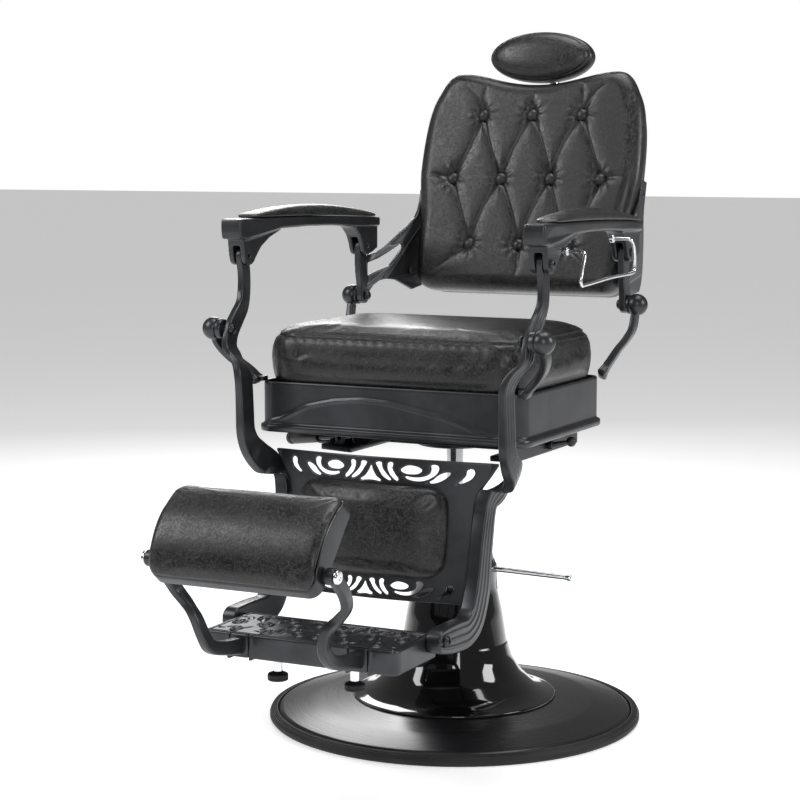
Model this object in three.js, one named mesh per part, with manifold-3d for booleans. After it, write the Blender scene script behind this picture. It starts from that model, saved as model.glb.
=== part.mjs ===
// Hydraulic barber chair. Millimetres, +Z up, the sitter faces -Y and sits on X = 0.
// Heights inside the chair group are measured from the top edge of the seat apron.
import * as THREE from 'three';
import Module from 'manifold-3d';
import { mergeVertices } from 'three/addons/utils/BufferGeometryUtils.js';

const wasm = await Module();
wasm.setup();

// ---------- driving sizes ----------
const seatHalf = 251;              // half width of the seat apron at its top edge
const seatFront = -272;            // front face of the apron
const seatBack = 80;               // back face of the apron
const seatDatum = 634;             // height of the apron's top edge above the floor
const apronHeight = 88;
const cushionRise = 102;           // crown of the seat cushion above the apron
const baseRadius = 340;            // outside of the rubber rim
const rimWidth = 15;
const coverTop = 376;              // top of the column cover
const ramRadius = 15;
const backHeight = 424;            // along the leaning back
const backHalf = 220;
const backLean = 15.4;             // degrees
const backDepth = 76;
const headTilt = 12 * Math.PI / 180;   // headrest's face from upright
const padHalf = 146;               // half width of the leg pad
const padLength = 163;
const padTilt = 49.6;              // degrees, leg pad from level
const footFront = -585;
const footBack = -446;
const footDepth = 40;

// ---------- clearances ----------
const gap = 0.3;                   // between pieces that are fixed together
const runGap = 0.5;                // beside a part that turns
const pinGap = 0.35;               // around a pin, on radius

// ---------- sizes that follow from the driving sizes ----------
const postX = seatHalf + 33;       // front post at the armrest
const railX = seatHalf - 61;       // lower rail of the leg frame
const rearPostX = seatHalf + 17;
const postThick = 13;
const railThick = 26;
const frontPivotY = seatFront - 55;
const frontPivotZ = 94;
const rearPivotY = seatBack + 71;
const rearPivotZ = 123;
const frontArmY = frontPivotY + 54;
const rearArmY = rearPivotY - 11;
const armPivotZ = 218;
const armNose = 38;                // armrest's reach in front of its front pivot
const ballRadius = 20;
const boltRadius = 6;
const armPinRadius = 4;
const backY = seatBack + 173;      // bottom edge of the back's front face
const backZ = 137;
const footPivotY = footFront + 123;
const footPivotZ = -377;
const footHalfBack = railX - railThick / 2 - 1;
const footHalfFront = footHalfBack - 1;
const footTop = -371;
const legArmX = padHalf + 11;
const legArmFootX = footHalfFront - 67;
const padPivotY = footFront - 175;
const padPivotZ = -221;
const padPivotAlong = 35;          // pivot from the pad's lower edge
const padPivotDeep = 13;           // pivot from the tray's back face
const leverTurn = 19.3 * Math.PI / 180;
const leverPivotRadius = 46;
const leverPivotHeight = 277;
const panelBow = 50;               // depth of the calf panel's bow
const underZ = -apronHeight - 36;  // underside of the frame below the seat
const hubBottom = underZ - 6;
const hubTop = underZ + 22;
const hubNeck = 42;                // radius where it passes up through the frame
const leverHome = [126 - seatHalf, seatFront + 80, underZ + 23];  // recline lever's pivot
const leverSwing = Math.PI - 0.344;    // direction of its rod, seen from above
const leverDip = 0.11;                 // its rod's slope down towards the grip

// ---------- finishes ----------
const finish = {
  paint: { color: 0x34363a, roughness: 0.42, metalness: 0.55 },
  gloss: { color: 0x0b0b0c, roughness: 0.1, metalness: 0.2 },
  satin: { color: 0x1d1e20, roughness: 0.38, metalness: 0.4 },
  rubber: { color: 0x151516, roughness: 0.8, metalness: 0 },
  chrome: { color: 0xd8dade, roughness: 0.12, metalness: 1 },
  steel: { color: 0x8b8e92, roughness: 0.35, metalness: 1 },
  leather: { color: 0x131314, roughness: 0.45, metalness: 0 },
  wood: { color: 0x9a7a52, roughness: 0.7, metalness: 0 },
};

// ---------- helpers ----------
function place(parent, name, geometry, look) {
  const mesh = new THREE.Mesh(geometry, new THREE.MeshStandardMaterial(finish[look]));
  mesh.name = name;
  parent.add(mesh);
  return mesh;
}

function toSolid(geometry) {
  const bare = geometry.clone();
  bare.deleteAttribute('normal');
  bare.deleteAttribute('uv');
  const welded = mergeVertices(bare, 1e-4);
  return new wasm.Manifold(new wasm.Mesh({
    numProp: 3,
    vertProperties: new Float32Array(welded.attributes.position.array),
    triVerts: new Uint32Array(welded.index.array),
  }));
}

function toGeometry(solid) {
  const mesh = solid.getMesh();
  const geometry = new THREE.BufferGeometry();
  geometry.setAttribute('position', new THREE.BufferAttribute(mesh.vertProperties, 3));
  geometry.setIndex(new THREE.BufferAttribute(mesh.triVerts, 1));
  geometry.computeVertexNormals();
  return geometry;
}

// Joins every geometry in add and takes every geometry in cut away.
function carve(add, cut = []) {
  let body = toSolid(add[0]);
  add.slice(1).forEach((geometry) => {
    body = body.add(toSolid(geometry));
  });
  cut.forEach((geometry) => {
    body = body.subtract(toSolid(geometry));
  });
  return toGeometry(body);
}

function box(wide, deep, high, x, y, z) {
  return new THREE.BoxGeometry(wide, deep, high).translate(x, y, z);
}

// Cylinder along X between two x values.
function barX(radius, x0, x1, y, z, sides = 12) {
  const geometry = new THREE.CylinderGeometry(radius, radius, Math.abs(x1 - x0), sides);
  return geometry.rotateZ(Math.PI / 2).translate((x0 + x1) / 2, y, z);
}

function barZ(radius, z0, z1, x, y, sides = 12) {
  const geometry = new THREE.CylinderGeometry(radius, radius, z1 - z0, sides);
  return geometry.rotateX(Math.PI / 2).translate(x, y, (z0 + z1) / 2);
}

// Turned body about Z from [radius, height] pairs.
function turned(profile, sides) {
  const points = profile.map(([r, z]) => new THREE.Vector2(r, z));
  return new THREE.LatheGeometry(points, sides).rotateX(Math.PI / 2);
}

// Ring about Z: the profile closes on itself and stays off the axis.
function ring(profile, sides) {
  const clockwise = THREE.ShapeUtils.isClockWise(profile.map(([r, z]) => new THREE.Vector2(r, z)));
  const loop = clockwise ? [...profile].reverse() : profile;
  return turned([...loop, loop[0]], sides);
}

function roundedRect(x0, x1, y0, y1, radius) {
  const shape = new THREE.Shape();
  shape.moveTo(x0 + radius, y0);
  shape.lineTo(x1 - radius, y0);
  shape.absarc(x1 - radius, y0 + radius, radius, -Math.PI / 2, 0, false);
  shape.lineTo(x1, y1 - radius);
  shape.absarc(x1 - radius, y1 - radius, radius, 0, Math.PI / 2, false);
  shape.lineTo(x0 + radius, y1);
  shape.absarc(x0 + radius, y1 - radius, radius, Math.PI / 2, Math.PI, false);
  shape.lineTo(x0, y0 + radius);
  shape.absarc(x0 + radius, y0 + radius, radius, Math.PI, Math.PI * 1.5, false);
  return shape;
}

// Plate of the shape between two heights, its edges rounded by bevel inside the outline.
function plate(shape, z0, z1, bevel = 0, curveSegments = 5, bevelSegments = 2) {
  const geometry = new THREE.ExtrudeGeometry(shape, {
    depth: z1 - z0 - 2 * bevel,
    bevelEnabled: bevel > 0,
    bevelThickness: bevel,
    bevelSize: bevel,
    bevelOffset: -bevel,
    bevelSegments,
    curveSegments,
  });
  return geometry.translate(0, 0, z0 + bevel);
}

// Turns a plate drawn in (y, z) so that its thickness lies along X.
function facingX(geometry) {
  const turn = new THREE.Matrix4().set(0, 0, 1, 0, 1, 0, 0, 0, 0, 1, 0, 0, 0, 0, 0, 1);
  return geometry.applyMatrix4(turn);
}

// Moves each vertex of a body centred on X = 0 to across(y, z) = [centre, width scale].
function shiftX(geometry, across) {
  const at = geometry.attributes.position;
  for (let i = 0; i < at.count; i += 1) {
    const [centre, scale] = across(at.getY(i), at.getZ(i));
    at.setX(i, centre + at.getX(i) * scale);
  }
  return geometry;
}

function mirrored(geometry) {
  const copy = geometry.index ? geometry.toNonIndexed() : geometry.clone();
  copy.deleteAttribute('normal');
  copy.deleteAttribute('uv');
  const at = copy.attributes.position;
  for (let i = 0; i < at.count; i += 3) {
    const [ax, ay, az] = [at.getX(i), at.getY(i), at.getZ(i)];
    at.setXYZ(i, -at.getX(i + 1), at.getY(i + 1), at.getZ(i + 1));
    at.setXYZ(i + 1, -ax, ay, az);
    at.setX(i + 2, -at.getX(i + 2));
  }
  const welded = mergeVertices(copy, 1e-5);
  welded.computeVertexNormals();
  return welded;
}

// Left is +X, the sitter's left hand. The right piece is its mirror image.
function pair(parent, name, geometry, look) {
  place(parent, `${name}_left`, geometry, look);
  place(parent, `${name}_right`, mirrored(geometry), look);
}

// Flat bar whose centre line is [x, y, z, half depth, thickness], cut square to its run.
function castBar(line, steps, bevel = 2) {
  const path = new THREE.CatmullRomCurve3(line.map(([x, y, z]) => new THREE.Vector3(x, y, z)));
  const size = new THREE.CatmullRomCurve3(line.map((p) => new THREE.Vector3(p[3], p[4], 0)));
  const centres = [];
  const sizes = [];
  for (let i = 0; i <= steps; i += 1) {
    centres.push(path.getPoint(i / steps));
    sizes.push(size.getPoint(i / steps));
  }
  const near = [];
  const far = [];
  centres.forEach((centre, i) => {
    const before = centres[Math.max(i - 1, 0)];
    const after = centres[Math.min(i + 1, steps)];
    const run = Math.hypot(after.y - before.y, after.z - before.z);
    const side = [(after.z - before.z) / run, -(after.y - before.y) / run];
    near.push([centre.y + side[0] * sizes[i].x, centre.z + side[1] * sizes[i].x]);
    far.unshift([centre.y - side[0] * sizes[i].x, centre.z - side[1] * sizes[i].x]);
  });
  const capAt = (index, from) => {
    const cap = [];
    const start = Math.atan2(from[1] - centres[index].z, from[0] - centres[index].y);
    for (let k = 1; k < 5; k += 1) {
      const angle = start + k * Math.PI / 5;
      const reach = sizes[index].x;
      cap.push([centres[index].y + reach * Math.cos(angle), centres[index].z + reach * Math.sin(angle)]);
    }
    return cap;
  };
  const outline = [...near, ...capAt(steps, near[steps]), ...far, ...capAt(0, far[steps])];
  const shape = new THREE.Shape(outline.map(([y, z]) => new THREE.Vector2(y, z)));
  const full = 2;
  const body = facingX(plate(shape, -full / 2, full / 2, 0));
  return shiftX(body, (y, z) => {
    let best = [Infinity, 0, 0];
    for (let i = 0; i < steps; i += 1) {
      const dy = centres[i + 1].y - centres[i].y;
      const dz = centres[i + 1].z - centres[i].z;
      const along = ((y - centres[i].y) * dy + (z - centres[i].z) * dz) / (dy * dy + dz * dz);
      const t = Math.min(1, Math.max(0, along));
      const miss = Math.hypot(y - centres[i].y - t * dy, z - centres[i].z - t * dz);
      if (miss < best[0]) {
        const x = centres[i].x + t * (centres[i + 1].x - centres[i].x);
        const thick = sizes[i].y + t * (sizes[i + 1].y - sizes[i].y);
        best = [miss, x, thick / full];
      }
    }
    return [best[1], best[2]];
  });
}

// Rod of the given section swept along a smooth curve through the points.
function swept(points, section, steps) {
  const path = new THREE.CatmullRomCurve3(points.map((p) => new THREE.Vector3(...p)));
  return new THREE.ExtrudeGeometry(section, {
    extrudePath: path, steps, bevelEnabled: false, curveSegments: 3,
  });
}

// Eight-sided section of a thin wire or rod.
function circle(radius) {
  const shape = [];
  for (let i = 0; i < 8; i += 1) {
    const angle = i * Math.PI / 4;
    shape.push(new THREE.Vector2(radius * Math.cos(angle), radius * Math.sin(angle)));
  }
  return new THREE.Shape(shape);
}

// Rectangle with its corners cut off.
function bevelled(halfX, halfY, cut) {
  return new THREE.Shape([
    [halfX - cut, -halfY], [halfX, cut - halfY], [halfX, halfY - cut], [halfX - cut, halfY],
    [cut - halfX, halfY], [-halfX, halfY - cut], [-halfX, cut - halfY], [cut - halfX, -halfY],
  ].map(([x, y]) => new THREE.Vector2(x, y)));
}

// ---------- base and pump ----------
function baseDisc() {
  const edge = baseRadius - rimWidth;
  return ring([
    [edge, 3], [edge, 16], [edge - 6, 20], [edge - 70, 33], [edge - 139, 41], [46, 41.5],
    [46, 35], [edge - 139, 34], [edge - 12, 14], [edge - 12, 3],
  ], 44);
}

function baseRim() {
  const inner = baseRadius - rimWidth + gap;
  return ring([
    [inner, 0], [baseRadius - 4, 0], [baseRadius, 5], [baseRadius, 11], [baseRadius - 4, 16],
    [inner, 18],
  ], 44);
}

function columnCover() {
  const foot = 42;
  const shell = ring([
    [185, foot], [185, foot + 3], [150, 58], [124, 82], [106, 112], [98, 140], [88, 195], [77, 257],
    [77, 283], [62, 330], [52, coverTop - 8], [49, coverTop], [26, coverTop], [26, coverTop - 4],
    [46, coverTop - 6], [72, 270], [92, 140], [143, 56], [170, foot],
  ], 28);
  const slot = box(60, 15, 52, 77, 0, leverPivotHeight - 11).rotateZ(leverTurn);
  return carve([shell], [slot]);
}

function pumpCylinder() {
  const bore = ramRadius + 1.5;
  const tube = ring([
    [bore, 48], [bore, coverTop - 9], [30, coverTop - 9], [34, coverTop - 13], [34, 60], [70, 58],
    [70, 42], [20, 42], [20, 48],
  ], 20);
  const ear = (side) => box(36, 6, 28, 44, side * 10, leverPivotHeight).rotateZ(leverTurn);
  const bore2 = leverBar(5 + 0.05, 16);
  return carve([tube, ear(1), ear(-1)], [bore2]);
}

// Bar along the pump lever's pivot axis.
function leverBar(radius, half) {
  const bar = new THREE.CylinderGeometry(radius, radius, 2 * half, 16);
  return bar.translate(leverPivotRadius, 0, leverPivotHeight).rotateZ(leverTurn);
}

function ramSeal() {
  const inner = ramRadius + 0.3;
  const foot = coverTop - 9 + gap;
  return ring([[inner, foot], [24, foot], [24, coverTop - 2], [20, coverTop + 3], [inner, coverTop + 3]], 20);
}

function pumpLever() {
  const boss = new THREE.CylinderGeometry(11, 11, 13, 14).translate(leverPivotRadius, 0, leverPivotHeight);
  const bore = new THREE.CylinderGeometry(5 + pinGap, 5 + pinGap, 20, 16);
  bore.translate(leverPivotRadius, 0, leverPivotHeight);
  const reach = 166;
  const rod = new THREE.CylinderGeometry(4.5, 5, reach - 10, 10).rotateZ(-Math.PI / 2);
  rod.translate(reach / 2 + 3, 0, 0).rotateY(5.5 * Math.PI / 180);
  rod.translate(leverPivotRadius, 0, leverPivotHeight);
  const tip = new THREE.SphereGeometry(5.6, 10, 6);
  tip.translate(reach - 2, 0, 0).rotateY(5.5 * Math.PI / 180);
  tip.translate(leverPivotRadius, 0, leverPivotHeight);
  return carve([boss, rod, tip], [bore]).rotateZ(leverTurn);
}

function ram(topZ) {
  return turned([
    [0, 150], [ramRadius - 1, 150], [ramRadius, 151], [ramRadius, topZ - 1], [ramRadius - 1, topZ],
    [0, topZ],
  ], 20);
}

// ---------- seat ----------
function swivelHub() {
  const bore = ramRadius + pinGap;
  const top = underZ - gap;
  return ring([
    [bore, hubBottom], [67, hubBottom], [70, hubBottom + 2], [70, top], [hubNeck, top], [hubNeck, hubTop],
    [bore, hubTop],
  ], 20);
}

// Pressed frame under the apron, with two ears that carry the recline lever.
function underseatFrame() {
  const wide = seatHalf - 42;
  const back = seatBack - 5;
  const [homeX, homeY] = leverHome;
  const inner = wide - 48;
  const shape = new THREE.Shape([
    [-wide, -140], [homeX - 40, -158], [homeX - 40, homeY - 14], [homeX + 30, homeY - 33], [homeX + 30, -75],
    [inner, -75], [inner, homeY - 14], [wide, homeY - 14], [wide, back], [-wide, back],
  ].map(([x, y]) => new THREE.Vector2(x, y)));
  const pan = plate(shape, underZ, underZ + 10);
  const top = 2 - apronHeight - gap;
  const foot = underZ + 9;
  const rib = (x, front) => box(8, back - front, top - foot, x, (back + front) / 2, (top + foot) / 2);
  const ear = (side) => aside(box(22, 5, 26, 0, side * 10.5, -8));
  return carve([pan, rib(4 - wide, -130), rib(wide - 4, homeY - 14), ear(1), ear(-1)], [
    leverTrunnion(4 + pinGap, 20), barZ(hubNeck + 3 * gap, underZ - 1, underZ + 11, 0, 0, 24),
  ]);
}

// Puts a body drawn about the recline lever's pivot, rod along X, in its place.
function aside(geometry) {
  return geometry.rotateZ(leverSwing).translate(...leverHome);
}

function leverTrunnion(radius, half) {
  return aside(new THREE.CylinderGeometry(radius, radius, 2 * half, 12));
}

function seatApron() {
  const top = roundedRect(-seatHalf, seatHalf, seatFront, seatBack, 26);
  top.holes.push(roundedRect(-seatHalf + 3, seatHalf - 3, seatFront + 3, seatBack - 3, 23));
  const lip = roundedRect(-seatHalf - 7, seatHalf + 7, seatFront - 7, seatBack + 7, 32);
  lip.holes.push(roundedRect(-seatHalf + 2.9, seatHalf - 2.9, seatFront + 2.9, seatBack - 2.9, 23));
  const floor = roundedRect(-seatHalf + 1, seatHalf - 1, seatFront + 1, seatBack - 1, 24);
  return carve([
    plate(top, -apronHeight, 0, 0, 3),
    plate(lip, -apronHeight, 12 - apronHeight, 2.5, 3, 1),
    plate(floor, -apronHeight + 2, -apronHeight + 5, 0, 3),
  ]);
}

function seatBoard() {
  const inset = 3 + 1;
  const shape = roundedRect(-seatHalf + inset, seatHalf - inset, seatFront + inset, seatBack - inset, 20);
  return plate(shape, -apronHeight + 5 + gap, -apronHeight + 23, 0, 4);
}

function seatCushion() {
  const inset = 3 + 2;
  const shape = roundedRect(-seatHalf + inset, seatHalf - inset, seatFront + inset, seatBack - inset, 34);
  return plate(shape, -apronHeight + 23 + gap, cushionRise, 25, 3, 3);
}

function ballBoss(x, y, z, stem) {
  const ball = new THREE.SphereGeometry(ballRadius, 12, 8).translate(x, y, z);
  return [ball, barX(ballRadius * 0.86, stem, x, y, z, 12)];
}

// Arm from the apron's top corner up and out to the front pivot boss.
function frontBracket() {
  const ballX = postX + 25;
  const faceX = postX - 3 + postThick / 2 + 2 * runGap;
  const arm = swept([
    [seatHalf + 4, seatFront + 1, 6], [seatHalf + 14, seatFront - 1, 14],
    [seatHalf + 34, seatFront - 12, 32], [seatHalf + 49, seatFront - 26, 54],
    [ballX, frontPivotY + 8, frontPivotZ - 12],
  ], bevelled(6, 11, 3), 9);
  const foot = box(17, 22, 8, seatHalf - 1, seatFront + 7, 4 + gap);
  return carve(
    [arm, foot, ...ballBoss(ballX, frontPivotY, frontPivotZ, faceX)],
    [barX(boltRadius + 0.05, faceX - 2, faceX + 16, frontPivotY, frontPivotZ)],
  );
}

function rearBracket() {
  const ballX = rearPostX + 23;
  const faceX = rearPostX + postThick / 2 + runGap;
  const arm = swept([
    [seatHalf + 3, seatBack - 2, 6], [seatHalf + 7, seatBack + 10, 18],
    [seatHalf + 14, seatBack + 28, 40], [seatHalf + 28, seatBack + 47, 68],
    [ballX - 2, rearPivotY - 4, rearPivotZ - 12],
  ], bevelled(6, 10, 3), 9);
  const foot = box(16, 20, 8, seatHalf - 1, seatBack - 7, 4 + gap);
  return carve(
    [arm, foot, ...ballBoss(ballX, rearPivotY, rearPivotZ, faceX)],
    [
      box(20, 60, 60, faceX - 10, rearPivotY, rearPivotZ),
      barX(boltRadius + 0.05, faceX - 2, faceX + 16, rearPivotY, rearPivotZ),
    ],
  );
}

// Screw through a post into the bracket's boss, its head on the post's inner face.
function pivotBolt(x, y, z, slack) {
  const inner = x - postThick / 2 - slack;
  return carve([
    barX(boltRadius, inner - 2, x + postThick / 2 + 15, y, z),
    barX(8, inner - 6, inner, y, z),
  ]);
}

function reclineLever() {
  const rod = new THREE.CylinderGeometry(5, 5, 134, 12).rotateZ(Math.PI / 2).translate(72, 0, 0);
  const boss = new THREE.CylinderGeometry(9, 9, 15, 12);
  return carve([aside(rod.rotateY(leverDip)), aside(boss), leverTrunnion(4, 13)]);
}

function reclineGrip() {
  const grip = turned([[0, 0], [9, 0], [12, 26], [12, 66], [10, 74], [10, 80], [0, 80]], 14);
  grip.rotateY(Math.PI / 2).translate(67, 0, 0);
  const bore = new THREE.CylinderGeometry(5 + gap, 5 + gap, 80, 12).rotateZ(Math.PI / 2).translate(100, 0, 0);
  return carve([aside(grip.rotateY(leverDip))], [aside(bore.rotateY(leverDip))]);
}

function lockLever() {
  const side = seatHalf - 42;
  const level = underZ + 14;
  const hub = barX(9, side + gap, side + 9, -60, level);
  const rod = swept([
    [side + 6, -60, level], [side + 18, -56, level + 2], [side + 30, -48, level + 4],
  ], circle(4), 4);
  const knob = new THREE.SphereGeometry(9, 10, 7).translate(side + 35, -46, level + 5);
  return carve([hub, rod, knob]);
}

// ---------- leg frame ----------
function sideFrame() {
  const y = (offset) => frontPivotY + offset;
  const x = (offset) => seatHalf + offset;
  const rail = railX;
  const thick = railThick;
  const bar = castBar([
    [x(33), y(54), armPivotZ, 14, 13], [x(33), y(60), 186, 14, 13], [x(33), y(59), 153, 14.5, 13],
    [x(31), y(49), 131, 15.5, 13], [x(30), y(29), 111, 17, 13], [x(30), y(12), 92, 18, 13],
    [x(30), y(5), 76, 18, 13], [x(29), y(3), 64, 18, 13], [x(20), y(2), 50, 18, 14],
    [x(6), y(-2), 34, 19, 15], [x(-2), y(-5), 16, 20, 16],
    [x(-3), y(-3), -10, 20, 16], [x(-3), y(-1), -50, 20, 17],
    [x(-3), y(2), -85, 20, 18], [x(-4), y(14), -108, 21, 20], [x(-7), y(34), -127, 24, 22],
    [x(-20), y(50), -145, 27, 23], [rail + 14, y(53), -163, 27, thick - 1], [rail + 2, y(44), -182, 22, thick],
    [rail, y(40), -200, 20, thick], [rail, y(31), -234, 22, thick], [rail, y(23), -272, 23, thick],
    [rail, y(16), -312, 26, thick], [rail, y(7), -338, 27, thick], [rail, y(-12), -368, 27, thick],
    [rail, y(-42), -382, 25, thick], [rail, y(-78), -382, 25, thick], [rail, y(-112), -380, 23, thick],
    [rail, y(-137), -378, 20, thick],
  ], 40);
  return carve([bar], [
    barX(boltRadius + pinGap, x(10), x(50), frontPivotY, frontPivotZ),
    barX(boltRadius + pinGap, railX - 20, railX + 20, footPivotY, footPivotZ),
  ]);
}

// One open shape of the scroll work, mirrored when side is -1.
function scroll(points, side, lift, scale) {
  const flat = points.map(([x, z]) => new THREE.Vector2(side * x * scale, lift + z * scale));
  const loop = side < 0 ? flat.reverse() : flat;
  return new THREE.Path(new THREE.SplineCurve([...loop, loop[0]]).getPoints(8));
}

function scrollBand(shape, lift, scale) {
  const middle = [[0, 13], [4, 4], [11, -6], [22, -14], [0, -12], [-22, -14], [-11, -6], [-4, 4]];
  shape.holes.push(scroll(middle, 1, lift, scale));
  const slots = [
    [[8, 17], [19, 18], [21, 9], [29, -1], [38, -10], [33, -11], [21, -4], [12, 9]],
    [[31, 18], [40, 18], [39, 9], [44, 0], [51, -9], [46, -11], [35, -2], [30, 9]],
    [[53, 7], [62, 14], [72, 15.5], [84, 13], [90, 8], [83, 2.5], [71, 1], [61, 2]],
    [[104, 18], [115, 18], [117, 11], [112, 2], [98, -7], [81, -10], [65, -7], [56, -1], [73, -4], [89, -3],
      [101, 2], [105, 10]],
    [[90, -13], [102, -7], [112, 2], [123, 7], [133, 7], [122, -4], [108, -11]].map(([x, z]) => [x + 5, z]),
    [[162, 13], [171, 15], [174, 8], [169, -1], [158, -8], [144, -12], [154, -4], [160, 4]],
  ];
  slots.forEach((slot) => {
    shape.holes.push(scroll(slot, 1, lift, scale));
    shape.holes.push(scroll(slot, -1, lift, scale));
  });
}

// How far the bowed panel falls back from its middle, in mm, at a distance x across.
function bow(x) {
  return panelBow * (1 - Math.cos(Math.PI / 2 * Math.min(1, Math.abs(x) / 200)));
}

// Bowed sheet between two depths in front of the panel's face, upright from low to high.
function bowedSheet(half, inner, outer, low, high) {
  const parts = 16;
  const front = [];
  const rear = [];
  for (let i = 0; i <= parts; i += 1) {
    const x = -half + 2 * half * i / parts;
    front.push(new THREE.Vector2(x, bow(x) - outer));
    rear.unshift(new THREE.Vector2(x, bow(x) - inner));
  }
  const sheet = plate(new THREE.Shape([...front, ...rear]), low, high);
  return sheet.rotateX(-Math.PI / 2);
}

// Keeps what lies inside the shape drawn in (x, height).
function trimmed(sheet, shape, curveSegments) {
  const mould = toSolid(plate(shape, -100, 100, 0, curveSegments));
  return toGeometry(toSolid(sheet).intersect(mould));
}

// Pierced bowed plate between the side frames, drawn in (x, height) about its middle.
function calfPanel() {
  const edge = railX - railThick / 2 - 1.2;
  const spread = edge + 36;
  const outline = new THREE.Shape();
  outline.moveTo(-edge, -116);
  outline.lineTo(edge, -116);
  outline.lineTo(edge, 34);
  outline.quadraticCurveTo(edge + 1, 64, edge + 14, 84);
  outline.lineTo(spread - 8, 106);
  outline.lineTo(spread, 122);
  outline.lineTo(-spread, 122);
  outline.lineTo(-spread + 8, 106);
  outline.lineTo(-edge - 14, 84);
  outline.quadraticCurveTo(-edge - 1, 64, -edge, 34);
  scrollBand(outline, 95, 1);
  scrollBand(outline, -98, 0.86);
  return trimmed(bowedSheet(spread + 5, -5, 0, -125, 125), outline, 4);
}

function calfPad() {
  const half = padHalf - 8;
  const base = trimmed(bowedSheet(half + 5, gap, 16, -80, 80), roundedRect(-half, half, -75, 75, 28), 3);
  const crown = roundedRect(8 - half, half - 8, -67, 67, 22);
  return carve([base, trimmed(bowedSheet(half + 5, 10, 30, -80, 80), crown, 3)]);
}

// ---------- footrest and leg pad ----------
function footrest() {
  const outline = new THREE.Shape();
  outline.moveTo(-footHalfFront + 14, footFront);
  outline.lineTo(footHalfFront - 14, footFront);
  outline.quadraticCurveTo(footHalfFront, footFront, footHalfFront + 1, footFront + 16);
  outline.lineTo(footHalfBack, footBack);
  outline.lineTo(-footHalfBack, footBack);
  outline.lineTo(-footHalfFront - 1, footFront + 16);
  outline.quadraticCurveTo(-footHalfFront, footFront, -footHalfFront + 14, footFront);
  const slab = plate(outline, footTop - footDepth, footTop, 2, 5, 1);
  const wide = 2 * (footHalfFront - 8);
  const deep = footBack - footFront - 20;
  const hollow = box(wide, deep, footDepth, 0, (footFront + footBack) / 2, footTop - footDepth / 2 - 7);
  const notch = (x) => box(35, 31, footDepth + 10, x, footFront + 14, footTop - footDepth / 2);
  const pocket = (x) => box(45, 46, footDepth + 2, x, footFront + 22, footTop - footDepth / 2 - 2);
  const boss = (x) => barZ(11, footTop - footDepth + 6, footTop - 3, x, footFront + 60);
  const stem = (x) => barZ(6 + gap, footTop - footDepth - 1, footTop - 12, x, footFront + 60);
  const bolt = barX(boltRadius + gap, -footHalfBack - 5, footHalfBack + 5, footPivotY, footPivotZ);
  return carve([carve([slab], [hollow]), pocket(legArmFootX), pocket(-legArmFootX), boss(71), boss(-71)],
    [notch(legArmFootX), notch(-legArmFootX), stem(71), stem(-71), bolt]);
}

function footrestBolt() {
  const outer = railX + railThick / 2 + gap;
  return carve([
    barX(boltRadius, footHalfBack - 10, outer + 2, footPivotY, footPivotZ),
    barX(11, outer, outer + 4, footPivotY, footPivotZ),
  ]);
}

function footStem() {
  return barZ(6, footTop - footDepth - 38, footTop - 15, 71, footFront + 60, 16);
}

function footPad() {
  const low = footTop - footDepth - 46;
  const pad = turned([
    [0, low], [12, low], [14, low + 2], [14, low + 12], [11, low + 16], [6 + gap, low + 16],
    [6 + gap, low + 8 - gap], [0, low + 8 - gap],
  ], 20);
  return pad.translate(71, footFront + 60, 0);
}

function legArm() {
  const y = (offset) => footFront + offset;
  const arm = swept([
    [legArmX, padPivotY, padPivotZ], [legArmX, padPivotY + 22, padPivotZ - 15],
    [legArmX - 1, padPivotY + 44, padPivotZ - 37], [legArmX - 7, padPivotY + 60, padPivotZ - 61],
    [(legArmX + legArmFootX) / 2 + 2, y(-112), padPivotZ - 80], [legArmFootX + 9, y(-115), padPivotZ - 100],
    [legArmFootX, y(-110), padPivotZ - 126], [legArmFootX, y(-91), padPivotZ - 150],
    [legArmFootX, y(-55), padPivotZ - 162], [legArmFootX, y(4), padPivotZ - 170],
  ], bevelled(7, 10, 2.5), 20);
  const eye = barX(13, legArmX - 7, legArmX + 7, padPivotY, padPivotZ);
  const block = box(34, 30, footDepth - 2, legArmFootX, footFront + 13, footTop - footDepth / 2);
  return carve([arm, eye, block], [barX(5 + pinGap, legArmX - 12, legArmX + 12, padPivotY, padPivotZ)]);
}

function legArmKnob() {
  return carve([
    barX(5, legArmX - 6.8, legArmX + 9, padPivotY, padPivotZ, 16),
    barX(11, legArmX + 7 + gap, legArmX + 15, padPivotY, padPivotZ, 12),
  ]);
}

// Drawn flat: x across, y along the pad from the pivot, z out of the tray.
function legTray() {
  const low = -padPivotAlong;
  const outer = roundedRect(-padHalf, padHalf, low, low + padLength, 14);
  const inner = roundedRect(-padHalf + 4, padHalf - 4, low + 4, low + padLength - 4, 11);
  const shell = plate(outer, -padPivotDeep, 19, 3, 3, 1);
  const lug = (side) => barX(9, side * (padHalf - 3), side * (legArmX - 7 - runGap), 0, 0, 16);
  return carve([carve([shell], [plate(inner, -padPivotDeep + 4, 24, 0, 3)]), lug(1), lug(-1)]);
}

function legCushion() {
  const low = -padPivotAlong;
  const inset = 4 + runGap;
  const shape = roundedRect(-padHalf + inset, padHalf - inset, low + inset, low + padLength - inset, 22);
  return plate(shape, -padPivotDeep + 4 + gap, 44, 17, 3, 3);
}

// ---------- back ----------
// Straight edge with points along it, so that the plate can bend there.
function evenLine(shape, from, to, parts) {
  for (let i = 1; i <= parts; i += 1) {
    shape.lineTo(from[0] + (to[0] - from[0]) * i / parts, from[1] + (to[1] - from[1]) * i / parts);
  }
}

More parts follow.
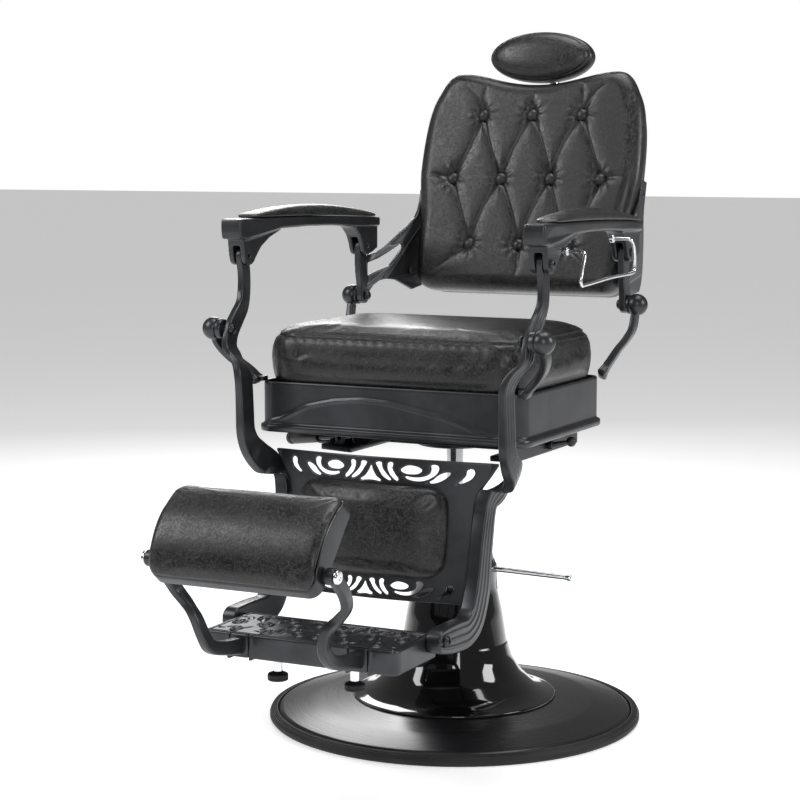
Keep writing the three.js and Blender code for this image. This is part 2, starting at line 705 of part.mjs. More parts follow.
// Post, web and side plate in one casting; the web runs inwards to the side of the back.
function backFrame() {
  const y0 = rearPivotY;
  const sideX = backHalf + 4 + gap;
  const post = castBar([
    [rearPostX, rearArmY, armPivotZ, 13, 13], [rearPostX, rearArmY + 1, 196, 13, 13],
    [rearPostX, rearArmY + 3, 170, 13, 13], [rearPostX, y0 - 2, 146, 14, 13],
    [rearPostX, y0, rearPivotZ, 16, 13],
  ], 12);
  const outline = new THREE.Shape();
  outline.moveTo(y0 - 4, 136);
  outline.lineTo(y0 + 10, 122);
  outline.bezierCurveTo(y0 + 26, 140, y0 + 34, 158, y0 + 70, 150);
  outline.lineTo(y0 + 128, 128);
  outline.lineTo(y0 + 176, 134);
  outline.bezierCurveTo(y0 + 196, 150, y0 + 196, 200, y0 + 196, 246);
  outline.bezierCurveTo(y0 + 190, 290, y0 + 206, 316, y0 + 210, 340);
  outline.lineTo(y0 + 182, 346);
  outline.bezierCurveTo(y0 + 172, 300, y0 + 160, 270, y0 + 130, 262);
  evenLine(outline, [y0 + 130, 262], [y0 + 34, 205], 6);
  evenLine(outline, [y0 + 34, 205], [y0 - 10, 196], 3);
  const hole = new THREE.Path();
  hole.moveTo(y0 + 12, 185);
  evenLine(hole, [y0 + 12, 185], [y0 + 36, 192], 2);
  evenLine(hole, [y0 + 36, 192], [y0 + 84, 221], 4);
  hole.quadraticCurveTo(y0 + 96, 212, y0 + 84, 200);
  hole.lineTo(y0 + 60, 178);
  hole.quadraticCurveTo(y0 + 34, 170, y0 + 12, 158);
  outline.holes.push(hole);
  const web = shiftX(facingX(plate(outline, -3.5, 3.5, 0, 5)), (y) => {
    const t = Math.min(1, Math.max(0, (y - y0 - 4) / 92));
    const ease = t * t * (3 - 2 * t);
    return [rearPostX - 1 + (sideX + 3.5 - rearPostX + 1) * ease, 1];
  });
  return carve([post, web], [
    barX(boltRadius + pinGap, rearPostX - 20, rearPostX + 20, rearPivotY, rearPivotZ),
    barX(armPinRadius + pinGap, rearPostX - 20, rearPostX + 20, rearArmY, armPivotZ),
  ]);
}

// Outline of the back seen from the front: x across, y up the leaning back.
function backOutline(inset) {
  const half = backHalf - inset;
  const low = inset;
  const high = backHeight - inset;
  const shape = new THREE.Shape();
  shape.moveTo(-half + 50, low);
  shape.lineTo(half - 50, low);
  shape.bezierCurveTo(half - 22, low, half - 10, low + 12, half - 8, low + 40);
  shape.bezierCurveTo(half - 4, low + 120, half, high - 220, half, high - 190);
  shape.bezierCurveTo(half, high - 130, half - 2, high - 70, half - 20, high - 40);
  shape.bezierCurveTo(half - 32, high - 12, half - 44, high, half - 60, high);
  shape.bezierCurveTo(half - 110, high, half - 150, high - 26, 0, high - 26);
  shape.bezierCurveTo(-half + 150, high - 26, -half + 110, high, -half + 60, high);
  shape.bezierCurveTo(-half + 44, high, -half + 32, high - 12, -half + 20, high - 40);
  shape.bezierCurveTo(-half + 2, high - 70, -half, high - 130, -half, high - 190);
  shape.bezierCurveTo(-half, high - 220, -half + 4, low + 120, -half + 8, low + 40);
  shape.bezierCurveTo(-half + 10, low + 12, -half + 22, low, -half + 50, low);
  return shape;
}

function backBoard() {
  return plate(backOutline(3), -backDepth, -backDepth + 22, 5, 4, 1);
}

function backCushion() {
  return plate(backOutline(0), -backDepth + 22 + gap, 0, 16, 4, 2);
}

const postDeep = -backDepth - 16;      // headrest post behind the back
const postTop = backHeight + 42;
const postFoot = backHeight - 194;
const socketMid = backHeight - 94;

function headrestSocket() {
  const block = box(60, 110, 28, 0, socketMid, -backDepth - 14 - gap);
  const bore = new THREE.CylinderGeometry(9 + pinGap, 9 + pinGap, 140, 16).translate(0, socketMid, postDeep);
  return carve([block], [bore]);
}

function headrestPost() {
  const rod = new THREE.CylinderGeometry(9, 9, postTop - postFoot, 16)
    .translate(0, (postTop + postFoot) / 2, postDeep);
  const cross = barX(7, -34, 34, postTop, postDeep, 16);
  const knuckle = barX(13, -16, 16, postTop, postDeep, 14);
  return carve([rod, cross, knuckle]);
}

// Drawn about the tilt axis: x across, y back, z up.
function headrestPlate() {
  const oval = new THREE.Shape();
  oval.absellipse(0, 0, 84, 32, 0, Math.PI * 2, false, 0);
  const disc = plate(oval, -2.5, 2.5, 0, 9).rotateX(Math.PI / 2).translate(0, -34, 6);
  const ear = (x) => box(6, 40, 22, x, -17, 2);
  const round = (x) => barX(13, x - 3, x + 3, 0, 0, 14);
  return carve([disc, ear(-23), ear(23), round(-23), round(23)], [
    barX(7 + pinGap, -40, 40, 0, 0, 16), barX(13.4, -19.5, 19.5, 0, 0, 14),
  ]);
}

function headrestCushion() {
  const oval = new THREE.Shape();
  oval.absellipse(0, 0, 103, 46, 0, Math.PI * 2, false, 0);
  return plate(oval, -33, 33, 18, 9, 2).rotateX(Math.PI / 2).translate(0, -37 - 33 - gap, 6);
}

// ---------- armrests ----------
const armX = (y) => {
  const t = (y - frontArmY) / (rearArmY - frontArmY);
  return postX + (rearPostX - postX) * Math.min(1, Math.max(0, t));
};

// Height of the casting's top face, which carries the pad.
function armTopZ(y) {
  const t = Math.max(0, (y - frontArmY) / (rearArmY + 44 - frontArmY));
  return 283 + 12 * t * (1 - t) - 10 * t;
}

function armrest() {
  const f = frontArmY;
  const r = rearArmY;
  const beam = new THREE.Shape();
  beam.moveTo(f - armNose + 3, 248);
  beam.quadraticCurveTo(f - armNose - 3, 266, f - armNose + 1, 282);
  beam.lineTo(f - armNose + 18, 283);
  beam.lineTo(f, 283);
  for (let i = 1; i <= 8; i += 1) {
    const y = f + (r + 44 - f) * i / 8;
    beam.lineTo(y, armTopZ(y));
  }
  beam.lineTo(r + 44, 256);
  beam.lineTo(r - 60, 258);
  beam.quadraticCurveTo((f + r) / 2 + 40, 266, f + 100, 262);
  beam.lineTo(f + 30, 252);
  beam.lineTo(f - 10, 247);
  const top = shiftX(facingX(plate(beam, -22, 22, 3, 3, 1)), (y) => {
    const t = Math.min(1, Math.max(0, (y - f + armNose + 8) / 40));
    return [armX(y), 0.7 + 0.3 * Math.sqrt(t * (2 - t))];
  });
  const front = new THREE.Shape();
  front.moveTo(f - 23, 260);
  front.lineTo(f - 17, 218);
  front.quadraticCurveTo(f - 14, 202, f, 201);
  front.quadraticCurveTo(f + 16, 202, f + 22, 214);
  front.quadraticCurveTo(f + 44, 244, f + 110, 259);
  front.lineTo(f + 110, 264);
  front.lineTo(f - 20, 264);
  const rear = new THREE.Shape();
  rear.moveTo(r - 70, 264);
  rear.quadraticCurveTo(r - 26, 250, r - 18, 222);
  rear.quadraticCurveTo(r - 14, 202, r, 201);
  rear.lineTo(r + 20, 206);
  rear.lineTo(r + 42, 214);
  rear.lineTo(r + 42, 264);
  const cheeks = [
    facingX(plate(front, -16, 16, 0, 3)).translate(postX, 0, 0),
    facingX(plate(rear, -16, 16, 0, 3)).translate(rearPostX, 0, 0),
  ];
  const slotWide = postThick + 2 * runGap;
  return carve([top, ...cheeks], [
    box(slotWide, 60, 60, postX, f - 12, 206),
    box(slotWide, 60, 60, rearPostX, r - 12, 206),
    barX(armPinRadius + 0.05, postX - 30, postX + 30, f, armPivotZ),
    barX(armPinRadius + 0.05, rearPostX - 30, rearPostX + 30, r, armPivotZ),
  ]);
}

function armPad() {
  const first = frontArmY - armNose + 46;
  const last = rearArmY + 34;
  const lower = [];
  const upper = [];
  for (let i = 0; i <= 12; i += 1) {
    const y = first + (last - first) * i / 12;
    const rise = 6 + 16 * Math.sin(Math.PI * i / 12) ** 0.7;
    lower.push(new THREE.Vector2(y, armTopZ(y) + gap));
    upper.unshift(new THREE.Vector2(y, armTopZ(y) + rise));
  }
  const side = new THREE.Shape([...lower, ...upper]);
  return shiftX(facingX(plate(side, -23, 23, 2.5, 8, 1)), (y) => {
    const t = Math.min(1, Math.max(0, (y - first + 8) / 50));
    return [armX(y), 0.5 + 0.5 * Math.sqrt(t * (2 - t))];
  });
}

// Screw at the armrest's front pivot: it holds the ear and ends short of the post.
function frontArmPin() {
  const ear = postX + postThick / 2 + runGap;
  return carve([
    barX(armPinRadius, ear + 0.5, postX + 18, frontArmY, armPivotZ),
    barX(8, postX + 16 + gap, postX + 21, frontArmY, armPivotZ),
  ]);
}

function rearArmPin() {
  return carve([
    barX(armPinRadius, rearPostX - 15, rearPostX + 18, rearArmY, armPivotZ),
    barX(8, rearPostX + 16 + gap, rearPostX + 21, rearArmY, armPivotZ),
  ]);
}

function towelBar() {
  const out = postX + 56;
  const near = frontArmY + 52;
  const far = frontArmY + 262;
  const at = postX + 16.3;
  const wire = swept([
    [at, near, 236], [at + 16, near, 236], [out - 5, near - 2, 236], [out, near - 8, 232],
    [out, near - 20, 204], [out, near - 24, 188], [out, near - 20, 182], [out, near - 10, 182],
    [out, near + 110, 188], [out, far + 8, 191], [out, far + 14, 193], [out, far + 16, 200],
    [out, far + 6, 242], [out - 4, far + 1, 248], [out - 14, far, 249], [at, far, 249],
  ], circle(3), 26);
  const collar = (y, z) => barX(7, at, at + 8, y, z, 14);
  return carve([wire, collar(near, 236), collar(far, 249)]);
}

// ---------- assembly ----------
const group = new THREE.Group();
group.name = 'barber_chair';

place(group, 'base_disc', baseDisc(), 'satin');
place(group, 'base_rim', baseRim(), 'rubber');
place(group, 'column_cover', columnCover(), 'gloss');
place(group, 'pump_cylinder', pumpCylinder(), 'steel');
place(group, 'ram_seal', ramSeal(), 'rubber');
place(group, 'pump_lever_pin', leverBar(5, 13), 'steel');
place(group, 'pump_lever', pumpLever(), 'chrome');
place(group, 'ram', ram(seatDatum + hubTop - 2), 'chrome');

const chair = new THREE.Group();
chair.position.z = seatDatum;
group.add(chair);

place(chair, 'swivel_hub', swivelHub(), 'satin');
place(chair, 'underseat_frame', underseatFrame(), 'satin');
place(chair, 'seat_apron', seatApron(), 'paint');
place(chair, 'seat_board', seatBoard(), 'wood');
place(chair, 'seat_cushion', seatCushion(), 'leather');
pair(chair, 'front_bracket', frontBracket(), 'paint');
pair(chair, 'rear_bracket', rearBracket(), 'paint');
pair(chair, 'front_pivot_bolt', pivotBolt(postX - 3, frontPivotY, frontPivotZ, 4.2), 'steel');
pair(chair, 'rear_pivot_bolt', pivotBolt(rearPostX, rearPivotY, rearPivotZ, 2 * runGap), 'steel');
place(chair, 'recline_lever', reclineLever(), 'steel');
place(chair, 'recline_grip', reclineGrip(), 'satin');
place(chair, 'lock_lever', lockLever(), 'satin');

pair(chair, 'side_frame', sideFrame(), 'paint');
const panel = new THREE.Group();
panel.position.set(0, frontPivotY - 18, -230);
panel.rotation.x = Math.PI / 2 - 0.115;
chair.add(panel);
place(panel, 'calf_panel', calfPanel(), 'paint');
place(panel, 'calf_pad', calfPad(), 'leather');

place(chair, 'footrest', footrest(), 'paint');
pair(chair, 'footrest_bolt', footrestBolt(), 'chrome');
pair(chair, 'foot_stem', footStem(), 'chrome');
pair(chair, 'foot_pad', footPad(), 'rubber');
pair(chair, 'leg_arm', legArm(), 'paint');
pair(chair, 'leg_arm_knob', legArmKnob(), 'chrome');
const legPad = new THREE.Group();
legPad.position.set(0, padPivotY, padPivotZ);
legPad.rotation.x = padTilt * Math.PI / 180;
chair.add(legPad);
place(legPad, 'leg_tray', legTray(), 'paint');
place(legPad, 'leg_cushion', legCushion(), 'leather');

pair(chair, 'back_frame', backFrame(), 'paint');
const back = new THREE.Group();
back.position.set(0, backY, backZ);
back.rotation.x = (90 - backLean) * Math.PI / 180;
chair.add(back);
place(back, 'back_board', backBoard(), 'satin');
place(back, 'back_cushion', backCushion(), 'leather');
place(back, 'headrest_socket', headrestSocket(), 'satin');
place(back, 'headrest_post', headrestPost(), 'chrome');
const head = new THREE.Group();
const lean = backLean * Math.PI / 180;
head.position.set(
  0,
  backY + postTop * Math.sin(lean) - postDeep * Math.cos(lean),
  backZ + postTop * Math.cos(lean) + postDeep * Math.sin(lean),
);
head.rotation.x = -headTilt;
chair.add(head);
place(head, 'headrest_plate', headrestPlate(), 'satin');
place(head, 'headrest_cushion', headrestCushion(), 'leather');

pair(chair, 'armrest', armrest(), 'paint');
pair(chair, 'arm_pad', armPad(), 'leather');
pair(chair, 'arm_pin_front', frontArmPin(), 'chrome');
pair(chair, 'arm_pin_rear', rearArmPin(), 'chrome');
place(chair, 'towel_bar', towelBar(), 'chrome');

export default group;
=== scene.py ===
"""Hydraulic barber chair: its looks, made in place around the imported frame.

Lengths inside the functions are millimetres in the frame of the CAD model, with +Z up, the
sitter facing -Y and the sitter's left hand at +X. A mesh is turned to metres as it is made.
The order is tools, finishes, base and pump, seat, leg frame, footrest, back, armrests, room.
"""
import math

import bmesh
import bpy
import numpy as np
from mathutils import Matrix, Vector
from mathutils.bvhtree import BVHTree


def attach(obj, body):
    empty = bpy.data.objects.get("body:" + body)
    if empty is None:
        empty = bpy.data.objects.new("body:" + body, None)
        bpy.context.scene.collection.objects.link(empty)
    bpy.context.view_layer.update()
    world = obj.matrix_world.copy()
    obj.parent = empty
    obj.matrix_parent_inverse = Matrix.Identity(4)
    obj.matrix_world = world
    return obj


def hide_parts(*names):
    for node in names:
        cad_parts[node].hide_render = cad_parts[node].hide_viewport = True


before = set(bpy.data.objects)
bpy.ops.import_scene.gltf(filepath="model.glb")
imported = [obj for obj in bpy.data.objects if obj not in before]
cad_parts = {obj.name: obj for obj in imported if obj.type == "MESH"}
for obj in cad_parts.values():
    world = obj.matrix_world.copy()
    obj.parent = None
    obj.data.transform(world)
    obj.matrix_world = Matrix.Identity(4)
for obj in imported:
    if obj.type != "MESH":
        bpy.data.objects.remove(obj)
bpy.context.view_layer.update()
scene = bpy.context.scene
MM = 0.001
MERGE_WITHIN = 1e-6
SIDES = (("left", 1), ("right", -1))
BOTH_ARMS = {"left": "arm_left", "right": "arm_right"}

# Millimetres. A turned body closes on its axis at the radius NUB.
NUB = 0.1
ACROSS = (1, 0, 0)
FRONT_PIVOT = (-327, 728)
REAR_PIVOT = (151, 757)
ARM_FRONT_PIVOT = (-273, 852)
ARM_REAR_PIVOT = (140, 852)
FOOTREST_PIVOT = (-462, 257)
LEG_PIVOT = (0, -760, 413)
LEG_LEAN = math.radians(49.6)
FOOT_AT = (71, -525, 0)
PUMP_TURN = math.radians(19.3)
BACK_FOOT = (253, 771)
BACK_UP = (0, 0.26556, 0.96410)
BACK_OUT = (0, -0.96410, 0.26556)
HEAD_AXIS = np.array([0, 465.5, 1195.9])
HEAD_LEAN = math.radians(12)


# ---------- tools: lines and rings of points ----------
def smooth_line(points, steps):
    """Centripetal curve through the points, as steps + 1 points."""
    p = np.asarray(points, float)
    last = len(p) - 1
    line = []
    for i in range(steps + 1):
        t = i / steps * last
        k = min(int(t), last - 1)
        w = t - k
        a = p[k - 1] if k > 0 else 2 * p[0] - p[1]
        b, c = p[k], p[k + 1]
        d = p[k + 2] if k + 2 <= last else 2 * p[last] - p[last - 1]
        step = [max(np.linalg.norm(v) ** 0.5, 1e-3) for v in (b - a, c - b, d - c)]
        m1 = (b - a) / step[0] - (c - a) / (step[0] + step[1]) + (c - b) / step[1]
        m2 = (c - b) / step[1] - (d - b) / (step[1] + step[2]) + (d - c) / step[2]
        m1, m2 = m1 * step[1], m2 * step[1]
        line.append(b + m1 * w + (-3 * b + 3 * c - 2 * m1 - m2) * w ** 2
                    + (2 * b - 2 * c + m1 + m2) * w ** 3)
    return np.array(line)


def eased(profile, radius=2.0, steps=4):
    """Open profile with each inner corner rounded off."""
    p = [np.asarray(q, float) for q in profile]
    out = [p[0]]
    for before, here, after in zip(p, p[1:], p[2:]):
        back, on = before - here, after - here
        reach = min(radius, np.linalg.norm(back) / 2.2, np.linalg.norm(on) / 2.2)
        start = here + back / max(np.linalg.norm(back), 1e-9) * reach
        end = here + on / max(np.linalg.norm(on), 1e-9) * reach
        for i in range(steps + 1):
            t = i / steps
            out.append(start * (1 - t) ** 2 + here * 2 * t * (1 - t) + end * t ** 2)
    out.append(p[-1])
    return np.array(out)


def rounded_rect(x0, x1, y0, y1, radius, corner=8, edge=10):
    """Points round a rectangle with rounded corners, anticlockwise."""
    r = max(radius, 0.5)
    turns = [(x1 - r, y0 + r, -90), (x1 - r, y1 - r, 0), (x0 + r, y1 - r, 90),
             (x0 + r, y0 + r, 180)]
    points = []
    for cx, cy, first in turns:
        for i in range(corner + 1):
            a = math.radians(first + 90 * i / corner)
            points.append((cx + r * math.cos(a), cy + r * math.sin(a)))
    loop = []
    for i, (ax, ay) in enumerate(points):
        bx, by = points[(i + 1) % len(points)]
        parts = edge if (i + 1) % (corner + 1) == 0 else 1
        loop += [(ax + (bx - ax) * k / parts, ay + (by - ay) * k / parts) for k in range(parts)]
    return np.array(loop)


def at_height(loop, z):
    """The flat loop lifted to z, which may be one height or one for each point."""
    return np.column_stack([loop, np.broadcast_to(z, len(loop))])


# ---------- tools: meshes ----------
def mesh_object(name, points, faces):
    """Object with its place in its mesh, from points in millimetres."""
    mesh = bpy.data.meshes.new(name)
    mesh.from_pydata((np.asarray(points, float) * MM).tolist(), [], faces)
    mesh.update()
    obj = bpy.data.objects.new(name, mesh)
    scene.collection.objects.link(obj)
    return obj


def merged(obj, outwards=False):
    """Merges the mesh's double points and, if asked, turns its faces outwards."""
    bm = bmesh.new()
    bm.from_mesh(obj.data)
    bmesh.ops.remove_doubles(bm, verts=bm.verts, dist=MERGE_WITHIN)
    if outwards:
        bmesh.ops.recalc_face_normals(bm, faces=bm.faces)
    bm.to_mesh(obj.data)
    bm.free()
    return obj


def loft(name, rings, closed=False):
    """Skin through rings of equal count. Its two ends are filled unless the rings close up."""
    rings = np.asarray(rings, float)
    rows, cols = rings.shape[:2]
    points = rings.reshape(-1, 3).tolist()
    faces = []
    for i in range(rows if closed else rows - 1):
        a, b = i * cols, ((i + 1) % rows) * cols
        for j in range(cols):
            k = (j + 1) % cols
            faces.append((a + j, a + k, b + k, b + j))
    if not closed:
        for first in (0, (rows - 1) * cols):
            points.append(np.mean(points[first:first + cols], axis=0).tolist())
            hub = len(points) - 1
            faces += [(first + j, first + (j + 1) % cols, hub) for j in range(cols)]
    return merged(mesh_object(name, points, faces), True)


def turned(name, profile, sides=72, axis=(0, 0, 1), at=(0, 0, 0), closed=False):
    """Turned body: the profile is [radius, distance along the axis]."""
    turn = Vector((0, 0, 1)).rotation_difference(Vector(axis)).to_matrix()
    angles = np.linspace(0, 2 * math.pi, sides, endpoint=False)
    rings = []
    for r, z in profile:
        ring = np.column_stack([r * np.cos(angles), r * np.sin(angles), np.full(sides, z)])
        rings.append(ring @ np.array(turn).T + np.array(at))
    return loft(name, rings, closed)


def swept(name, line, section, lean=(0, 0, 1), sizes=None, round_end=0):
    """Section of [across, up] points carried along the line; up keeps nearest to lean."""
    line = np.asarray(line, float)
    run = np.gradient(line, axis=0)
    run /= np.linalg.norm(run, axis=1)[:, None]
    rings = []
    for i, (here, along) in enumerate(zip(line, run)):
        up = np.array(lean, float) - along * np.dot(lean, along)
        up /= np.linalg.norm(up)
        across = np.cross(along, up)
        scale = 1.0 if sizes is None else sizes[i]
        rings.append(here + scale * (section[:, :1] * across + section[:, 1:] * up))
    if round_end:
        rings = rounded_ends(rings, run, round_end)
    return loft(name, rings)


def rounded_ends(rings, run, reach):
    """Adds shrinking rings at both ends, so that the ends are domed."""
    def dome(ring, way):
        middle = ring.mean(axis=0)
        turns = [math.radians(a) for a in (25, 48, 66, 80)]
        return [middle + (ring - middle) * math.cos(a) + way * reach * math.sin(a) for a in turns]
    return dome(rings[0], -run[0])[::-1] + list(rings) + dome(rings[-1], run[-1])


def oblong(half_a, half_b, radius, corner=4):
    """Section of a flat bar with rounded corners."""
    return rounded_rect(-half_a, half_a, -half_b, half_b, radius, corner, 3)


def disc(radius, count=14):
    """Section of a round bar."""
    a = np.linspace(0, 2 * math.pi, count, endpoint=False)
    return np.column_stack([radius * np.cos(a), radius * np.sin(a)])


def baked(obj):
    """The object's modifiers turned into its mesh."""
    bpy.context.view_layer.update()
    graph = bpy.context.evaluated_depsgraph_get()
    made = bpy.data.meshes.new_from_object(obj.evaluated_get(graph))
    obj.modifiers.clear()
    obj.data = made
    return obj


def regrained(obj, voxel, passes=0):
    """Even mesh of small faces in place of the drawn one, its edges rounded by smoothing."""
    grain = obj.modifiers.new("grain", "REMESH")
    grain.mode = "VOXEL"
    grain.voxel_size = voxel * MM
    if passes:
        soften = obj.modifiers.new("soften", "SMOOTH")
        soften.factor = 0.5
        soften.iterations = passes
    return baked(obj)


def recast(name, node, voxel, passes):
    """Copy of a CAD node with rounded edges, as a casting leaves the mould."""
    obj = bpy.data.objects.new(name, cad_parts[node].data.copy())
    scene.collection.objects.link(obj)
    return regrained(merged(obj), voxel, passes)


def mirrored(obj, name):
    """The right-hand copy of a left-hand piece."""
    copy = bpy.data.objects.new(name, obj.data.copy())
    scene.collection.objects.link(copy)
    copy.data.transform(Matrix.Scale(-1, 4, (1, 0, 0)))
    copy.data.flip_normals()
    return copy


def spots(obj):
    """The mesh's points in millimetres."""
    flat = np.empty(len(obj.data.vertices) * 3, np.float32)
    obj.data.vertices.foreach_get("co", flat)
    return flat.reshape(-1, 3).astype(float) / MM


def move_spots(obj, points):
    obj.data.vertices.foreach_set("co", (np.asarray(points) * MM).astype(np.float32).ravel())
    obj.data.update()
    return obj


def dressed(obj, body, look, replaces=(), sharp=38):
    """Gives a piece its finish, its smooth shading, its body and the CAD nodes it stands for."""
    obj.data.materials.clear()
    obj.data.materials.append(LOOKS[look])
    obj.data.shade_smooth()
    if sharp:
        obj.data.set_sharp_from_angle(angle=math.radians(sharp))
    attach(obj, body)
    if replaces:
        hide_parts(*replaces)
    return obj


def both_sides(make, name, node, bodies, look, sharp=38):
    """Left piece from make(name), right piece as its mirror image."""
    left = make(f"{name}_left")
    right = mirrored(left, f"{name}_right")
    for obj, (side, _) in zip((left, right), SIDES):
        body = bodies if isinstance(bodies, str) else bodies[side]
        dressed(obj, body, look, [f"{node}_{side}"] if node else (), sharp)
    return left, right


# ---------- tools: things that repeat ----------
def repeated(name, unit, places, facing, running, body, look, size=1.0):
    """Sets the unit mesh at each place, its z along facing and its x along running."""
    mesh = bpy.data.meshes.new(name)
    mesh.from_pydata((np.asarray(places, float) * MM).tolist(), [], [])
    turn = mesh.attributes.new("turn", "QUATERNION", "POINT")
    for i, (out, along) in enumerate(zip(facing, running)):
        z = Vector(out).normalized()
        x = Vector(along) - z * Vector(along).dot(z)
        x = x.normalized() if x.length > 1e-6 else z.orthogonal().normalized()
        turn.data[i].value = Matrix((x, z.cross(x), z)).transposed().to_quaternion()
    holder = bpy.data.objects.new(name, mesh)
    scene.collection.objects.link(holder)
    tree = bpy.data.node_groups.new(f"{name}_set", "GeometryNodeTree")
    tree.interface.new_socket("Places", in_out="INPUT", socket_type="NodeSocketGeometry")
    scale = tree.interface.new_socket("Size", in_out="INPUT", socket_type="NodeSocketFloat")
    thing = tree.interface.new_socket("Unit", in_out="INPUT", socket_type="NodeSocketObject")
    finish = tree.interface.new_socket("Finish", in_out="INPUT", socket_type="NodeSocketMaterial")
    tree.interface.new_socket("Made", in_out="OUTPUT", socket_type="NodeSocketGeometry")
    given = add(tree, "NodeGroupInput")
    turned_by = add(tree, "GeometryNodeInputNamedAttribute", {"Name": "turn"}, data_type="QUATERNION")
    part = add(tree, "GeometryNodeObjectInfo", {"Object": given.outputs["Unit"]})
    spread = add(tree, "GeometryNodeInstanceOnPoints", {
        "Points": given.outputs["Places"], "Instance": part.outputs["Geometry"],
        "Rotation": turned_by.outputs["Attribute"], "Scale": given.outputs["Size"]})
    real = add(tree, "GeometryNodeRealizeInstances", {"Geometry": spread.outputs["Instances"]})
    painted = add(tree, "GeometryNodeSetMaterial", {
        "Geometry": real.outputs["Geometry"], "Material": given.outputs["Finish"]})
    add(tree, "NodeGroupOutput", {"Made": painted.outputs["Geometry"]})
    setter = holder.modifiers.new("set", "NODES")
    setter.node_group = tree
    setter[scale.identifier] = size
    setter[thing.identifier] = unit
    setter[finish.identifier] = LOOKS[look]
    baked(holder)
    if "turn" in holder.data.attributes:
        holder.data.attributes.remove(holder.data.attributes["turn"])
    return dressed(holder, body, look, sharp=45)


def screw_unit():
    """Domed screw head with a hexagon socket, seated at z = 0, 16 mm across."""
    profile = [(NUB, 1.6), (3.0, 1.6), (3.4, 3.9), (5.4, 3.3), (7.2, 1.9), (8.0, 0.4), (8.0, -1.5),
               (NUB, -1.5)]
    socket_reach, sides, half_flat = 4, 24, math.pi / 6
    a = np.linspace(0, 2 * math.pi, sides, endpoint=False)
    hexagon = 1 / np.cos((a + half_flat) % (2 * half_flat) - half_flat)
    rings = []
    for r, z in profile:
        hexed = r * (1.0 if r > socket_reach else hexagon)
        rings.append(np.column_stack([hexed * np.cos(a), hexed * np.sin(a), np.full(sides, z)]))
    return hidden(loft("screw_unit", rings))


def button_unit():
    """Covered button, a flattened dome 23 mm across."""
    profile = [(NUB, 7.4), (3.5, 7.1), (7.0, 5.9), (9.8, 3.9), (11.2, 1.6), (11.3, -0.4), (10.2, -2.4),
               (8.0, -4.0), (NUB, -4.0)]
    return hidden(turned("button_unit", profile, 28))


def stitch_unit():
    """One stitch of thread, 3.4 mm long and 0.8 mm thick."""
    line = [(-1.7, 0, -0.35), (-1.0, 0, 0.2), (0, 0, 0.42), (1.0, 0, 0.2), (1.7, 0, -0.35)]
    return hidden(swept("stitch_unit", line, disc(0.42, 5)))


def hidden(obj):
    """Keeps a unit that is only there to be repeated out of the picture."""
    obj.hide_render = True
    obj.hide_viewport = False
    return obj


def on_skin(obj, points, lift=0.0):
    """Nearest places on the object's surface, with the surface's outward directions there."""
    tree = BVHTree.FromObject(obj, bpy.context.evaluated_depsgraph_get())
    places, ways = [], []
    for p in points:
        place, way, _, _ = tree.find_nearest(Vector(p) * MM)
        places.append(np.array(place) / MM + np.array(way) * lift)
        ways.append(np.array(way))
    return np.array(places), np.array(ways)


def even_steps(points, pitch, closed=True):
    """Places every pitch along a line."""
    p = np.asarray(points, float)
    if closed:
        p = np.vstack([p, p[:1]])
    far = np.concatenate([[0], np.cumsum(np.linalg.norm(np.diff(p, axis=0), axis=1))])
    want = np.arange(0, far[-1] - pitch * 0.4, pitch)
    return np.column_stack([np.interp(want, far, p[:, k]) for k in range(3)])


def stitched(name, obj, line, pitch, body, closed=True, lift=0.15):
    """A row of stitches along a line laid on a cushion."""
    rows = [line] if isinstance(line, np.ndarray) else line
    places, ways, runs = [], [], []
    for row in rows:
        steps = even_steps(row, pitch, closed)
        at, out = on_skin(obj, steps, lift)
        places.append(at)
        ways.append(out)
        runs.append(np.gradient(steps, axis=0))
    return repeated(name, STITCH, np.vstack(places), np.vstack(ways), np.vstack(runs), body, "thread")


# ---------- tools: padding ----------
CLOTH_STEPS = 20


def swollen(obj, voxel, cap, pressure=4.0, held=None):
    """Cover filled out over its foam: a short cloth run under pressure, its travel capped."""
    regrained(obj, voxel)
    rest = spots(obj)
    cloth = obj.modifiers.new("cloth", "CLOTH")
    cloth.settings.quality = 5
    cloth.settings.use_pressure = True
    cloth.settings.uniform_pressure_force = pressure
    cloth.settings.effector_weights.gravity = 0
    if held is not None:
        group = obj.vertex_groups.new(name="held")
        group.add([int(i) for i in np.nonzero(held(rest))[0]], 1.0, "REPLACE")
        cloth.settings.vertex_group_mass = "held"
    for step in range(1, CLOTH_STEPS + 1):
        scene.frame_set(step)
    graph = bpy.context.evaluated_depsgraph_get()
    puffed = obj.evaluated_get(graph).to_mesh()
    flat = np.empty(len(puffed.vertices) * 3, np.float32)
    puffed.vertices.foreach_get("co", flat)
    obj.evaluated_get(graph).to_mesh_clear()
    travel = flat.reshape(-1, 3) / MM - rest
    far = np.linalg.norm(travel, axis=1)[:, None]
    travel *= cap * np.tanh(far / cap) / np.maximum(far, 1e-6)
    obj.modifiers.clear()
    obj.vertex_groups.clear()
    scene.frame_set(1)
    move_spots(obj, rest + travel)
    smooth = obj.modifiers.new("smooth", "SUBSURF")
    smooth.levels = smooth.render_levels = 1
    return baked(obj)


def normals_of(obj):
    """The mesh's outward direction at each point."""
    flat = np.empty(len(obj.data.vertices) * 3, np.float32)
    obj.data.vertex_normals.foreach_get("vector", flat)
    return flat.reshape(-1, 3).astype(float)


def drawn_in(obj, depth):
    """Pulls each point in along its normal by depth(points), in millimetres."""
    p = spots(obj)
    return move_spots(obj, p - normals_of(obj) * depth(p)[:, None])


